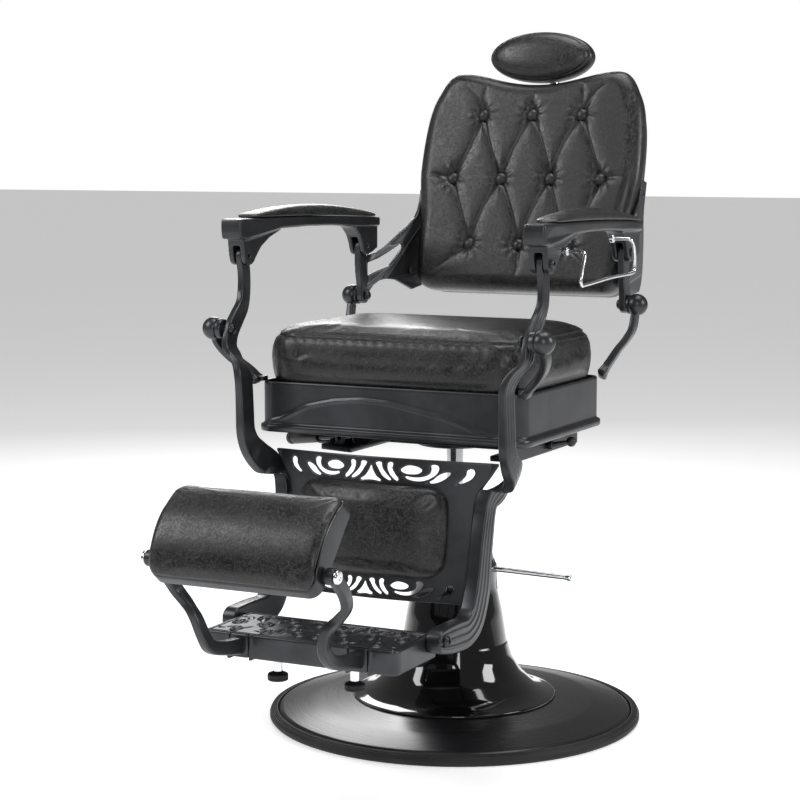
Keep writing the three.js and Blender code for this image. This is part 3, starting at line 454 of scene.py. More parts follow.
# ---------- tools: materials ----------
def linear(code):
    """sRGB hex colour as linear RGBA."""
    out = []
    for i in (1, 3, 5):
        c = int(code[i:i + 2], 16) / 255
        out.append(c / 12.92 if c <= 0.04045 else ((c + 0.055) / 1.055) ** 2.4)
    return (*out, 1.0)


def add(tree, kind, inputs=None, stops=None, **settings):
    """Adds a node: settings are its properties, inputs its sockets' values or what feeds them."""
    node = tree.nodes.new(kind)
    for key, value in settings.items():
        setattr(node, key, value)
    for key, value in (inputs or {}).items():
        socket = node.inputs[key]
        if isinstance(value, bpy.types.NodeSocket):
            tree.links.new(value, socket)
        else:
            socket.default_value = value
    if stops:
        ramp = node.color_ramp
        while len(ramp.elements) < len(stops):
            ramp.elements.new(0.5)
        for element, (place, colour) in zip(ramp.elements, stops):
            element.position = place
            element.color = linear(colour) if isinstance(colour, str) else (colour,) * 3 + (1,)
    return node


LOOKS_STARTED = {}


def finish_tree(name, shader, colour=None, rough=None, bumps=()):
    """Material tree ending in one shader; bumps are (height socket, strength, depth in mm)."""
    material = LOOKS_STARTED[name]
    tree = material.node_tree
    inputs = dict(shader)
    if colour is not None:
        inputs["Base Color"] = colour
    if rough is not None:
        inputs["Roughness"] = rough
    normal = None
    for height, strength, depth in bumps:
        feed = {"Height": height, "Strength": strength, "Distance": depth * MM}
        if normal is not None:
            feed["Normal"] = normal
        normal = add(tree, "ShaderNodeBump", feed).outputs["Normal"]
    if normal is not None:
        inputs["Normal"] = normal
    surface = add(tree, "ShaderNodeBsdfPrincipled", inputs)
    add(tree, "ShaderNodeOutputMaterial", {"Surface": surface.outputs["BSDF"]})
    return material


def started(name):
    """Empty material tree and its object coordinates."""
    material = bpy.data.materials.new(name)
    material.use_nodes = True
    material.node_tree.nodes.clear()
    LOOKS_STARTED[name] = material
    return material.node_tree, add(material.node_tree, "ShaderNodeTexCoord").outputs["Object"]


# ---------- finishes ----------
def gunmetal_enamel():
    """Baked gunmetal enamel over a sand casting: a soft metallic grey with the mould's fine pits."""
    name = "gunmetal_enamel_on_casting"
    tree, at = started(name)
    sand = add(tree, "ShaderNodeTexNoise", {"Vector": at, "Scale": 1100.0, "Detail": 3.0, "Roughness": 0.6})
    swell = add(tree, "ShaderNodeTexNoise", {"Vector": at, "Scale": 120.0, "Detail": 2.0})
    cloud = add(tree, "ShaderNodeTexNoise", {"Vector": at, "Scale": 16.0, "Detail": 3.0})
    tint = add(tree, "ShaderNodeValToRGB", {"Fac": cloud.outputs["Fac"]},
               stops=[(0.35, "#37383a"), (0.65, "#444548")])
    gloss = add(tree, "ShaderNodeMapRange", {
        "Value": sand.outputs["Fac"], "From Min": 0.3, "From Max": 0.7, "To Min": 0.30, "To Max": 0.42})
    return finish_tree(name, {"Metallic": 0.78, "Coat Weight": 0.12, "Coat Roughness": 0.18},
                       tint.outputs["Color"], gloss.outputs["Result"],
                       [(swell.outputs["Fac"], 0.25, 0.35), (sand.outputs["Fac"], 0.22, 0.12)])


def column_lacquer():
    """Sprayed black lacquer on pressed steel: a deep mirror-like black with faint orange peel."""
    name = "black_lacquer_on_steel"
    tree, at = started(name)
    peel = add(tree, "ShaderNodeTexNoise", {"Vector": at, "Scale": 260.0, "Detail": 1.5})
    dust = add(tree, "ShaderNodeTexNoise", {"Vector": at, "Scale": 14.0, "Detail": 4.0})
    tint = add(tree, "ShaderNodeValToRGB", {"Fac": dust.outputs["Fac"]},
               stops=[(0.3, "#060607"), (0.7, "#0b0b0c")])
    gloss = add(tree, "ShaderNodeMapRange", {
        "Value": dust.outputs["Fac"], "From Min": 0.3, "From Max": 0.7, "To Min": 0.05, "To Max": 0.11})
    return finish_tree(name, {"Coat Weight": 0.6, "Coat Roughness": 0.04}, tint.outputs["Color"],
                       gloss.outputs["Result"], [(peel.outputs["Fac"], 0.08, 0.12)])


def base_enamel():
    """Charcoal powder coat on the spun base plate: satin, with turning lines just showing."""
    name = "charcoal_powder_coat"
    tree, at = started(name)
    square = add(tree, "ShaderNodeVectorMath", {0: at, 1: (1.0, 1.0, 0.0)}, operation="MULTIPLY")
    reach = add(tree, "ShaderNodeVectorMath", {0: square.outputs["Vector"]}, operation="LENGTH")
    lines = add(tree, "ShaderNodeTexNoise", {"W": reach.outputs["Value"], "Scale": 420.0, "Detail": 2.0},
                noise_dimensions="1D")
    grit = add(tree, "ShaderNodeTexNoise", {"Vector": at, "Scale": 900.0, "Detail": 2.0})
    cloud = add(tree, "ShaderNodeTexNoise", {"Vector": at, "Scale": 9.0, "Detail": 3.0})
    tint = add(tree, "ShaderNodeValToRGB", {"Fac": cloud.outputs["Fac"]},
               stops=[(0.3, "#1d1d1f"), (0.7, "#27272a")])
    gloss = add(tree, "ShaderNodeMapRange", {
        "Value": lines.outputs["Fac"], "From Min": 0.3, "From Max": 0.7, "To Min": 0.26, "To Max": 0.36})
    return finish_tree(name, {"Metallic": 0.45, "Coat Weight": 0.15, "Coat Roughness": 0.2},
                       tint.outputs["Color"], gloss.outputs["Result"],
                       [(lines.outputs["Fac"], 0.12, 0.1), (grit.outputs["Fac"], 0.12, 0.08)])


def rubber():
    """Moulded black rubber: matt, greyer in soft random patches, with a fine dusty grain."""
    name = "moulded_black_rubber"
    tree, at = started(name)
    grain = add(tree, "ShaderNodeTexNoise", {"Vector": at, "Scale": 700.0, "Detail": 4.0})
    dust = add(tree, "ShaderNodeTexNoise", {"Vector": at, "Scale": 22.0, "Detail": 5.0})
    tint = add(tree, "ShaderNodeValToRGB", {"Fac": dust.outputs["Fac"]},
               stops=[(0.35, "#151516"), (0.7, "#212122")])
    rough = add(tree, "ShaderNodeMapRange", {"Value": grain.outputs["Fac"], "To Min": 0.5, "To Max": 0.72})
    return finish_tree(name, {"Specular IOR Level": 0.4}, tint.outputs["Color"], rough.outputs["Result"],
                       [(grain.outputs["Fac"], 0.3, 0.15)])


def chrome_plate():
    """Polished chrome plate: a near-mirror with faint polishing haze."""
    name = "polished_chrome_plate"
    tree, at = started(name)
    haze = add(tree, "ShaderNodeTexNoise", {"Vector": at, "Scale": 60.0, "Detail": 5.0, "Roughness": 0.7})
    tint = add(tree, "ShaderNodeValToRGB", {"Fac": haze.outputs["Fac"]},
               stops=[(0.3, "#d2d3d6"), (0.7, "#e3e4e6")])
    rough = add(tree, "ShaderNodeMapRange", {"Value": haze.outputs["Fac"], "To Min": 0.05, "To Max": 0.16})
    return finish_tree(name, {"Metallic": 1.0}, tint.outputs["Color"], rough.outputs["Result"],
                       [(haze.outputs["Fac"], 0.03, 0.1)])


def machined_steel():
    """Turned and oiled steel of the pump and hub: darker than chrome, with tool marks along it."""
    name = "turned_oiled_steel"
    tree, at = started(name)
    stretched = add(tree, "ShaderNodeMapping", {"Vector": at, "Scale": (60.0, 60.0, 1600.0)})
    marks = add(tree, "ShaderNodeTexNoise", {
        "Vector": stretched.outputs["Vector"], "Scale": 1.0, "Detail": 2.0})
    tint = add(tree, "ShaderNodeValToRGB", {"Fac": marks.outputs["Fac"]},
               stops=[(0.3, "#2c2d2f"), (0.7, "#4b4c4f")])
    rough = add(tree, "ShaderNodeMapRange", {"Value": marks.outputs["Fac"], "To Min": 0.28, "To Max": 0.45})
    return finish_tree(name, {"Metallic": 0.9}, tint.outputs["Color"], rough.outputs["Result"],
                       [(marks.outputs["Fac"], 0.15, 0.1)])


def faux_leather():
    """Black polyurethane leather, embossed and crinkled: a soft gloss broken by fine feathered creases.
    Its pores are drawn 1.3 mm apart, coarser than real ones, so that they show."""
    name = "crinkled_black_faux_leather"
    tree, at = started(name)
    warp = add(tree, "ShaderNodeTexNoise", {"Vector": at, "Scale": 38.0, "Detail": 3.0})
    shift = add(tree, "ShaderNodeVectorMath", {
        0: warp.outputs["Color"], 1: (0.016, 0.016, 0.016), 2: at}, operation="MULTIPLY_ADD")
    pores = add(tree, "ShaderNodeTexVoronoi", {"Vector": at, "Scale": 780.0}, feature="F1")
    plume = add(tree, "ShaderNodeTexNoise", {
        "Vector": shift.outputs["Vector"], "Scale": 85.0, "Detail": 5.0, "Roughness": 0.62,
        "Distortion": 1.6})
    fold = add(tree, "ShaderNodeTexVoronoi", {"Vector": shift.outputs["Vector"], "Scale": 62.0},
               feature="DISTANCE_TO_EDGE")
    patch = add(tree, "ShaderNodeTexNoise", {"Vector": at, "Scale": 15.0, "Detail": 3.0})
    where = add(tree, "ShaderNodeValToRGB", {"Fac": patch.outputs["Fac"]}, stops=[(0.42, 0.0), (0.62, 1.0)])
    vein = add(tree, "ShaderNodeValToRGB", {"Fac": fold.outputs["Distance"]},
               stops=[(0.0, 1.0), (0.035, 0.35), (0.075, 0.0)])
    feather = add(tree, "ShaderNodeValToRGB", {"Fac": plume.outputs["Fac"]},
                  stops=[(0.47, 0.0), (0.5, 1.0), (0.53, 0.0)])
    veins = add(tree, "ShaderNodeMath", {0: vein.outputs["Color"], 1: where.outputs["Color"]},
                operation="MULTIPLY")
    faint = add(tree, "ShaderNodeMath", {0: veins.outputs["Value"], 1: 0.35}, operation="MULTIPLY")
    feathers = add(tree, "ShaderNodeMath", {0: feather.outputs["Color"], 1: patch.outputs["Fac"]},
                   operation="MULTIPLY")
    lines = add(tree, "ShaderNodeMath", {0: faint.outputs["Value"], 1: feathers.outputs["Value"]},
                operation="MAXIMUM")
    # Colour: paler along the crease lines and the feathered marks.
    paler_creases = add(tree, "ShaderNodeMath", {0: lines.outputs["Value"], 1: 1.3}, operation="MULTIPLY")
    tint = add(tree, "ShaderNodeValToRGB", {"Fac": paler_creases.outputs["Value"]},
               stops=[(0.0, "#09090a"), (1.0, "#3a3a3c")])
    rough = add(tree, "ShaderNodeMapRange", {
        "Value": patch.outputs["Fac"], "From Min": 0.3, "From Max": 0.7, "To Min": 0.30, "To Max": 0.42})
    dents = add(tree, "ShaderNodeMath", {0: 1.0, 1: lines.outputs["Value"]}, operation="SUBTRACT")
    return finish_tree(name, {"Specular IOR Level": 0.5, "Coat Weight": 0.12, "Coat Roughness": 0.2},
                       tint.outputs["Color"], rough.outputs["Result"],
                       [(plume.outputs["Fac"], 0.5, 0.7), (dents.outputs["Value"], 0.6, 0.6),
                        (pores.outputs["Distance"], 0.25, 0.12)])


def bare_plywood():
    """Birch plywood: pale, with grain drawn out along the sheet."""
    name = "birch_plywood"
    tree, at = started(name)
    drawn = add(tree, "ShaderNodeMapping", {"Vector": at, "Scale": (12.0, 260.0, 260.0)})
    grain = add(tree, "ShaderNodeTexNoise", {
        "Vector": drawn.outputs["Vector"], "Scale": 1.0, "Detail": 4.0})
    tint = add(tree, "ShaderNodeValToRGB", {"Fac": grain.outputs["Fac"]},
               stops=[(0.3, "#8d6b43"), (0.7, "#c09a6b")])
    return finish_tree(name, {"Roughness": 0.65}, tint.outputs["Color"], None,
                       [(grain.outputs["Fac"], 0.2, 0.2)])


def grip_plastic():
    """Moulded black nylon grip: satin with a fine spark-eroded texture."""
    name = "moulded_black_nylon"
    tree, at = started(name)
    spark = add(tree, "ShaderNodeTexNoise", {"Vector": at, "Scale": 1200.0, "Detail": 2.0})
    tint = add(tree, "ShaderNodeValToRGB", {"Fac": spark.outputs["Fac"]},
               stops=[(0.3, "#19191a"), (0.7, "#242426")])
    return finish_tree(name, {"Roughness": 0.42}, tint.outputs["Color"], None,
                       [(spark.outputs["Fac"], 0.25, 0.1)])


def sewing_thread():
    """Bonded polyester thread, black: twisted plies catch a little light."""
    name = "bonded_polyester_thread"
    tree, at = started(name)
    ply = add(tree, "ShaderNodeTexWave", {"Vector": at, "Scale": 500.0, "Distortion": 1.0})
    tint = add(tree, "ShaderNodeValToRGB", {"Fac": ply.outputs["Fac"]},
               stops=[(0.2, "#1c1c1d"), (0.8, "#39393b")])
    return finish_tree(name, {"Roughness": 0.55, "Sheen Weight": 0.2}, tint.outputs["Color"], None,
                       [(ply.outputs["Fac"], 0.2, 0.08)])


LOOKS = {
    "gunmetal_casting": gunmetal_enamel(),
    "black_cover": column_lacquer(),
    "dark_base": base_enamel(),
    "black_rubber": rubber(),
    "chrome": chrome_plate(),
    "machined_steel": machined_steel(),
    "black_leather": faux_leather(),
    "plywood": bare_plywood(),
    "grip_plastic": grip_plastic(),
    "thread": sewing_thread(),
}
LOOKS["bolt_steel"] = LOOKS["machined_steel"]
STITCH = stitch_unit()
SCREW = screw_unit()
BUTTON = button_unit()


# ---------- base and pump ----------
def base_plate():
    """Spun base plate, a shallow dish turned upside down."""
    profile = eased([
        (325, 3), (325, 15), (319, 20.5), (255, 33.5), (186, 41), (60, 42.6), (46, 42.6), (46, 36),
        (186, 34.5), (313, 14), (313, 3)], 5)
    plate = turned("base_plate", profile, 144, closed=True)
    return dressed(plate, "base", "dark_base", ["base_disc"], 30)


def base_rim():
    """Rubber bumper strip: three mould ridges run round its top."""
    inside, outside, slope = 325.3, 340, 0.28
    face = [(inside, 0), (336, 0), (outside, 4.5), (outside, 10.5), (338.4, 13.2)]
    for r in (336.2, 333.2, 330.2):
        lift = (outside - r) * slope
        face += [(r + 1.0, 14.2 + lift), (r + 0.6, 15.6 + lift), (r - 0.6, 15.8 + lift),
                 (r - 1.2, 14.6 + lift)]
    face += [(327.6, 18.6), (inside, 18.4)]
    strip = turned("base_rim_strip", eased(face, 0.8, 2), 144, closed=True)
    return dressed(strip, "base", "black_rubber", ["base_rim"], 25)


def column_bell():
    """Bell-shaped column cover, open at a slot where the pump lever comes out."""
    neck, slot_half_width, slot_foot, slot_top, sheet = 77, 7.8, 238, 294, 2.2
    outer = eased([
        (185.5, 42.5), (185, 45.5), (168, 50), (150, 58.5), (124, 82), (106, 112), (98, 139.5),
        (96.6, 141.5), (88, 195), (78.5, 240), (77, 257), (neck, 283), (75.2, 285), (72.6, 292),
        (62, 330), (52, 368), (49, 375.6), (26, 376)], 9, 5)
    slot = math.asin(slot_half_width / neck)
    angles = np.sort(np.concatenate([
        np.linspace(slot, 2 * math.pi - slot, 150),
        np.linspace(-slot, slot, 7)[1:-1] % (2 * math.pi)]))
    points, faces = [], []
    for r, z in outer:
        points += [(r * math.cos(a + PUMP_TURN), r * math.sin(a + PUMP_TURN), z) for a in angles]
    cols = len(angles)
    for i in range(len(outer) - 1):
        for j in range(cols):
            k = (j + 1) % cols
            middle = (angles[j] + angles[k] + (2 * math.pi if k == 0 else 0)) / 2 % (2 * math.pi)
            low, high = sorted((outer[i][1], outer[i + 1][1]))
            beside = min(middle, 2 * math.pi - middle) >= slot
            if beside or low <= slot_foot or high >= slot_top:
                faces.append((i * cols + j, i * cols + k, (i + 1) * cols + k, (i + 1) * cols + j))
    obj = mesh_object("column_bell", points, faces)
    bm = bmesh.new()
    bm.from_mesh(obj.data)
    bmesh.ops.recalc_face_normals(bm, faces=bm.faces)
    if sum(f.normal.dot(f.calc_center_median() - Vector((0, 0, 0.2))) for f in bm.faces) < 0:
        bmesh.ops.reverse_faces(bm, faces=bm.faces)
    bm.to_mesh(obj.data)
    bm.free()
    wall = obj.modifiers.new("wall", "SOLIDIFY")
    wall.thickness = sheet * MM
    wall.offset = -1
    return dressed(baked(obj), "base", "black_cover", ["column_cover"], 40)


def pump():
    """Pump cylinder inside the column, its wiper seal, and the chromed ram that lifts the seat."""
    bore = eased([
        (16.5, 48), (16.5, 367), (30, 367), (33.8, 363), (34, 61), (70, 58), (70, 42.2), (20, 42.2),
        (20, 48)], 2)
    dressed(turned("pump_body", bore, 72, closed=True), "base", "machined_steel", ["pump_cylinder"])
    lip = eased([(15.3, 367.5), (24, 367.5), (24, 374), (20.5, 379), (15.3, 379.4)], 1.2)
    dressed(turned("ram_wiper", lip, 64, closed=True), "base", "black_rubber", ["ram_seal"])
    rod = eased([(NUB, 150), (13.5, 150), (15, 151.5), (15, 506.5), (13.5, 508), (NUB, 508)], 1)
    dressed(turned("ram_rod", rod, 72), "ram", "chrome", ["ram"])


def pump_lever():
    """Chrome pump lever: an eye on its pin and a rod that dips a little, with a ball tip."""
    out = np.array([math.cos(PUMP_TURN), math.sin(PUMP_TURN), 0])
    side = np.array([-math.sin(PUMP_TURN), math.cos(PUMP_TURN), 0])
    pin_reach, pin_height, dip = 46, 277, math.radians(5.5)
    home = out * pin_reach + np.array([0, 0, pin_height])
    along = out * math.cos(dip) - np.array([0, 0, math.sin(dip)])
    ring = eased([(5.4, -6.5), (10.2, -6.5), (11, -5.7), (11, 5.7), (10.2, 6.5), (5.4, 6.5)], 0.8, 2)
    eye = turned("pump_lever_eye", ring, 48, axis=side, at=home, closed=True)
    profile = eased([(NUB, 7), (6.2, 8), (6.2, 15), (5.0, 19), (4.6, 60), (4.5, 158), (4.9, 159.5),
                     (5.9, 162), (5.9, 166), (4.2, 169.2), (NUB, 169.8)], 1.5)
    rod = turned("pump_lever_rod", profile, 40, axis=along, at=home)
    dressed(eye, "pump_lever", "chrome", ["pump_lever"])
    dressed(rod, "pump_lever", "chrome")
    peg = eased([(NUB, -13), (4.4, -13), (5, -12.4), (5, 12.4), (4.4, 13), (NUB, 13)], 0.5)
    pin = turned("pump_lever_pivot", peg, 32, axis=side, at=home)
    dressed(pin, "base", "bolt_steel", ["pump_lever_pin"])


# ---------- seat ----------
RIDGE = np.array([
    (-236, 561.8), (-206, 570.6), (-154, 594.6), (-100, 606.5), (-50, 611), (0, 608.5), (49, 600), (98, 591),
    (131, 581.7), (161, 571), (205, 562.7), (240, 560)])


def apron_skirt():
    """Cast skirt round the seat: thin top lip, flared foot and an arched moulding across the front."""
    x1, y0, y1, r = 251, -272, 80, 26
    rings = []
    outer = [(0, 633.2), (0.6, 631.8)] + [(0.8, z) for z in np.arange(629, 562, -1.6)] + [
        (1.2, 561), (3.2, 559.4), (6.0, 558.3), (7.2, 556.6), (7.6, 553), (7.2, 548.2), (5.8, 546.3)]
    inner = [(3, 546), (-6, 546), (-8, 551), (-3.2, 552), (-3.2, 632.6), (-2.4, 634), (-1.0, 634.2)]
    curve = lambda x: np.interp(x, RIDGE[:, 0], RIDGE[:, 1])
    for offset, z in outer + inner:
        loop = rounded_rect(-x1 - offset, x1 + offset, y0 - offset, y1 + offset, r + offset, 10, 90)
        ring = at_height(loop, z)
        if 546 < z < 634 and offset > 0:
            front = (ring[:, 1] < y0 + 1) & (np.abs(ring[:, 0]) < 240)
            above = z - curve(ring[:, 0])
            fade = np.clip((240 - np.abs(ring[:, 0])) / 18, 0, 1) * np.clip((z - 548) / 8, 0, 1)
            bead = 2.6 * np.exp(-(above / 2.6) ** 2) + 1.3 / (1 + np.exp(above / 1.6))
            ring[:, 1] -= np.where(front, bead * fade, 0)
        rings.append(ring)
    skirt = loft("apron_skirt", rings, closed=True)
    dressed(skirt, "seat", "gunmetal_casting", ["seat_apron"], 50)
    inside = rounded_rect(-x1 + 4, x1 - 4, y0 + 4, y1 - 4, 22, 8, 4)
    dressed(loft("apron_floor", [at_height(inside, z) for z in (548, 551)]), "seat", "gunmetal_casting")


def seat_cushion():
    """Box cushion: side band bellied a little, crowned top, double-stitched seam round the top edge."""
    x1, y0, y1 = 246.5, -268, 76
    seam_height, crown, crown_rings = 714.5, 21, 25
    sides = [(571, 20), (573, 12), (580, 7), (610, 4), (632, 3.5), (640, 0), (655, -4), (675, -6),
             (692, -5), (704, -2), (711, 1.5), (seam_height, 5)]
    outline = lambda i, corner: rounded_rect(-x1 + i, x1 - i, y0 + i, y1 - i, corner, 12, 16)
    rings = [at_height(outline(i, 58 - 0.5 * i), z) for z, i in sides]
    for k in range(1, crown_rings + 1):
        share = k / crown_rings
        inset = 5 + 162 * share ** 1.25
        rise = seam_height + crown * math.sqrt(1 - (1 - share) ** 2.2)
        rings.append(at_height(outline(inset, max(56 - 0.3 * inset, 4)), rise))
    cushion = loft("seat_pad", rings)
    swollen(cushion, 5.0, 4.0, 3.0, lambda p: p[:, 2] < 645)
    edge = lambda p: np.maximum(np.abs(p[:, 0]) - x1, np.abs(p[:, 1] + 96) - 172)
    seam = lambda p: 1.7 * np.exp(-((p[:, 2] - 715) / 1.7) ** 2) * (edge(p) > -22)
    ripple = lambda p: np.sin((p[:, 0] + 1.3 * p[:, 1]) / 3.1)
    pucker = lambda p: 0.22 * np.exp(-((p[:, 2] - 710) / 7) ** 2) * ripple(p)
    drawn_in(cushion, lambda p: seam(p) + pucker(p) * (edge(p) > -20))
    dressed(cushion, "seat", "black_leather", ["seat_cushion"], 0)
    rows = [at_height(rounded_rect(-x1 + i, x1 - i, y0 + i, y1 - i, 52, 10, 30), z)
            for z, i in ((711, 0), (720, 9))]
    stitched("seat_stitches", cushion, rows, 4.6, "seat")
    return cushion


def underseat():
    """Steel pan under the seat, the swivel collar round the ram and the plywood the cushion sits on."""
    pan = recast("underseat_pan", "underseat_frame", 2.2, 3)
    dressed(pan, "seat", "machined_steel", ["underseat_frame"])
    collar = eased([(15.35, 504), (67, 504), (70, 506), (70, 509.6), (42, 509.6), (42, 532),
                    (15.35, 532)], 1.2)
    hub = turned("swivel_collar", collar, 72, closed=True)
    dressed(hub, "seat", "machined_steel", ["swivel_hub"])
    sheet = rounded_rect(-247, 247, -268, 76, 20, 8, 4)
    board = loft("seat_plywood", [at_height(sheet, z) for z in (551.3, 552.2, 568, 569)])
    dressed(board, "seat", "plywood", ["seat_board"])


def curved_arm(name, points, half_a, half_b, radius, lean, steps=40, swell=None, tip=6):
    """Flat cast bar with rounded corners along a curve; swell gives [places, scales] along it."""
    line = smooth_line(points, steps)
    sizes = None if swell is None else np.interp(np.linspace(0, 1, len(line)), *swell)
    return swept(name, line, oblong(half_a, half_b, radius), lean, sizes, tip)


def ball_boss(name, x, y, z, face):
    """Ball with a turned collar: the boss that carries a pivot."""
    ball = 20
    profile = [(NUB, face - x), (16.2, face - x), (17.2, face - x + 1.2), (17.2, -11.5), (16, -10.5),
               (15.4, -9.6), (17.4, -9.4)]
    for a in np.radians(np.arange(-26, 91, 8)):
        profile.append((max(ball * math.cos(a), NUB), ball * math.sin(a)))
    profile[-1] = (NUB, ball)
    return turned(name, profile, 48, axis=ACROSS, at=(x, y, z))


def brackets():
    """Front and rear arms, each ending in the ball boss of its pivot."""
    front = [(255, -271, 636), (262, -272, 644), (272, -276, 654), (286, -285, 667), (300, -298, 684),
             (308, -312, 702), (309, -322, 716)]
    rear = [(254, 78, 636), (258, 88, 648), (264, 99, 662), (272, 111, 679), (281, 124, 695),
            (288, 137, 713), (290, 146, 738)]
    taper = ([0, 0.12, 0.5, 1], [1.25, 1.0, 0.96, 0.9])
    for tag, line, ball in (("front", front, (309, *FRONT_PIVOT, 288.5)),
                            ("rear", rear, (291, *REAR_PIVOT, 275))):
        arm = lambda n: curved_arm(n, line, 6.5, 11.5, 3.5, (0, 1, 0.15), 36, taper)
        both_sides(arm, f"{tag}_arm", f"{tag}_bracket", "seat", "gunmetal_casting", 50)
        both_sides(lambda n: ball_boss(n, *ball), f"{tag}_ball", None, "seat", "gunmetal_casting", 40)
    pad = rounded_rect(241.5, 258.5, -276, -254, 6, 6, 3)
    foot = lambda n: loft(n, [at_height(pad, z) for z in (634.4, 635, 640.5, 642.4)])
    both_sides(foot, "front_arm_foot", None, "seat", "gunmetal_casting")


def levers():
    """Recline lever with its grip on the sitter's right, and the lock lever on the sitter's left."""
    swing, dip = math.pi - 0.344, 0.11
    home = np.array([-125, -192, 533])
    along = np.array([math.cos(swing) * math.cos(dip), math.sin(swing) * math.cos(dip), -math.sin(dip)])
    side = np.array([-math.sin(swing), math.cos(swing), 0])
    bar = eased([(NUB, 5), (5, 5), (5, 138), (4, 139), (NUB, 139)], 1)
    rod = turned("recline_rod", bar, 36, axis=along, at=home)
    dressed(rod, "recline_lever", "machined_steel", ["recline_lever"])
    ring = eased([(4.3, -7.5), (8.2, -7.5), (9, -6.7), (9, 6.7), (8.2, 7.5), (4.3, 7.5)], 0.8)
    eye = turned("recline_eye", ring, 40, axis=side, at=home, closed=True)
    dressed(eye, "recline_lever", "machined_steel")
    grip = [(5.3, 67), (8.4, 67), (9.2, 68), (10, 80), (11.4, 128), (11.4, 134), (10.2, 135), (10.2, 138),
            (11.9, 139), (11.9, 145), (10.8, 147), (5.3, 147)]
    sleeve = turned("recline_grip_sleeve", eased(grip, 0.7, 2), 48, axis=along, at=home, closed=True)
    dressed(sleeve, "recline_lever", "grip_plastic", ["recline_grip"])
    boss = eased([(NUB, 209.3), (8, 209.3), (9, 210.3), (9, 217), (8, 218), (NUB, 218)], 0.8)
    hub = turned("lock_hub", boss, 40, axis=ACROSS, at=(0, -60, 524))
    dressed(hub, "lock_lever", "machined_steel", ["lock_lever"])
    line = smooth_line([(215, -60, 524), (226, -57, 526), (240, -48, 528)], 12)
    dressed(swept("lock_rod", line, disc(4, 16)), "lock_lever", "machined_steel")
    ball = 9
    knob = [(NUB, -2)]
    for a in np.radians(np.arange(20, 181, 16)):
        knob.append((max(ball * math.sin(a), NUB), ball - ball * math.cos(a)))
    knob = turned("lock_knob", knob, 40, axis=(0.8, 0.6, 0.1), at=(238, -50, 528))
    dressed(knob, "lock_lever", "grip_plastic")


# ---------- leg frame ----------
def fluted(half_deep, half_thick, tall=1.3):
    """Section [along the depth, along the thickness]: rounded bar with three ridges on its outer face."""
    r = min(3.2, half_thick * 0.45)
    top = half_thick - tall
    flat = np.linspace(half_deep - r, r - half_deep, 43)
    lift = sum(np.exp(-((flat - s) / (half_deep * 0.12)) ** 2) for s in (-half_deep / 2, 0, half_deep / 2))
    loop = list(zip(flat, top + tall * lift))
    corners = [(r - half_deep, top - r, 90), (r - half_deep, r - half_thick, 180),
               (half_deep - r, r - half_thick, 270), (half_deep - r, top - r, 0)]
    for n, (cu, cv, first) in enumerate(corners):
        for i in range(1 if n == 0 else 0, 5 if n == 3 else 6):
            a = math.radians(first + 18 * i)
            loop.append((cu + r * math.cos(a), cv + r * math.sin(a)))
    return np.array(loop)


def cast_bar(name, stations, steps, section=fluted):
    """Bar lying in the YZ plane; a station is [x, y, z, half depth, thickness]."""
    s = np.asarray(stations, float)
    centres = smooth_line(s[:, :3], steps)
    sizes = smooth_line(np.column_stack([s[:, 3:], np.zeros(len(s))]), steps)
    rings = []
    for i, centre in enumerate(centres):
        before, after = centres[max(i - 1, 0)], centres[min(i + 1, steps)]
        run = after - before
        run = np.array([0, run[1], run[2]]) / math.hypot(run[1], run[2])
        deep = np.array([0, run[2], -run[1]])
        loop = section(sizes[i][0], sizes[i][1] / 2)
        ring = centre + loop[:, :1] * deep + loop[:, 1:] * np.array([1.0, 0, 0])
        ends = []
        for turn in np.radians([14, 30, 46, 60, 72, 82]):
            cap = loop * np.array([math.cos(turn), 1.0 - 0.12 * (turn > 1.2)])
            way = -run if i == 0 else run
            ends.append(centre + way * sizes[i][0] * math.sin(turn)
                        + cap[:, :1] * deep + cap[:, 1:] * np.array([1.0, 0, 0]))
        if i == 0:
            rings += ends[::-1]
        rings.append(ring)
        if i == steps:
            rings += ends
    return loft(name, rings)


# Side frame from the armrest's front pivot down to the footrest: [x, y, z, half depth, thickness].
FRAME_LINE = [
    (284, *ARM_FRONT_PIVOT, 14, 13), (284, -267, 820, 14, 13), (284, -268, 787, 14.5, 13),
    (282, -278, 765, 15.5, 13),
    (281, -298, 745, 17, 13), (281, -315, 726, 18, 13), (281, -322, 710, 18, 13), (280, -324, 698, 18, 13),
    (271, -325, 684, 18, 14), (257, -329, 668, 19, 15), (249, -332, 650, 20, 16), (248, -330, 624, 20, 16),
    (248, -328, 584, 20, 17), (248, -325, 549, 20, 18), (247, -313, 526, 21, 20), (244, -293, 507, 24, 22),
    (231, -277, 489, 27, 23), (204, -274, 471, 27, 25), (192, -283, 452, 22, 26), (190, -287, 434, 20, 26),
    (190, -296, 400, 22, 26), (190, -304, 362, 23, 26), (190, -311, 322, 26, 26), (190, -320, 296, 27, 26),
    (190, -339, 266, 27, 26), (190, -369, 252, 25, 26), (190, -405, 252, 25, 26), (190, -439, 254, 23, 26),
    (190, -464, 256, 20, 26)]


def side_frames():
    """Fluted cast rails that carry the calf panel and the footrest."""
    both_sides(lambda n: cast_bar(n, FRAME_LINE, 190), "leg_rail", "side_frame", "leg_frame",
               "gunmetal_casting", 60)


def panel_place(x, h, w):
    """Bowed panel: x across, h up it, w out of its face."""
    x, h, w = (np.asarray(v, float) for v in (x, h, w))
    bow, reach, lean, middle_y, middle_z = 50, 200, 0.115, -345, 404
    out = w - bow * (1 - np.cos(math.pi / 2 * np.minimum(1, np.abs(x) / reach)))
    c, s = math.sin(lean), math.cos(lean)
    return np.column_stack([x, middle_y + h * c - out * s, middle_z + h * s + out * c])


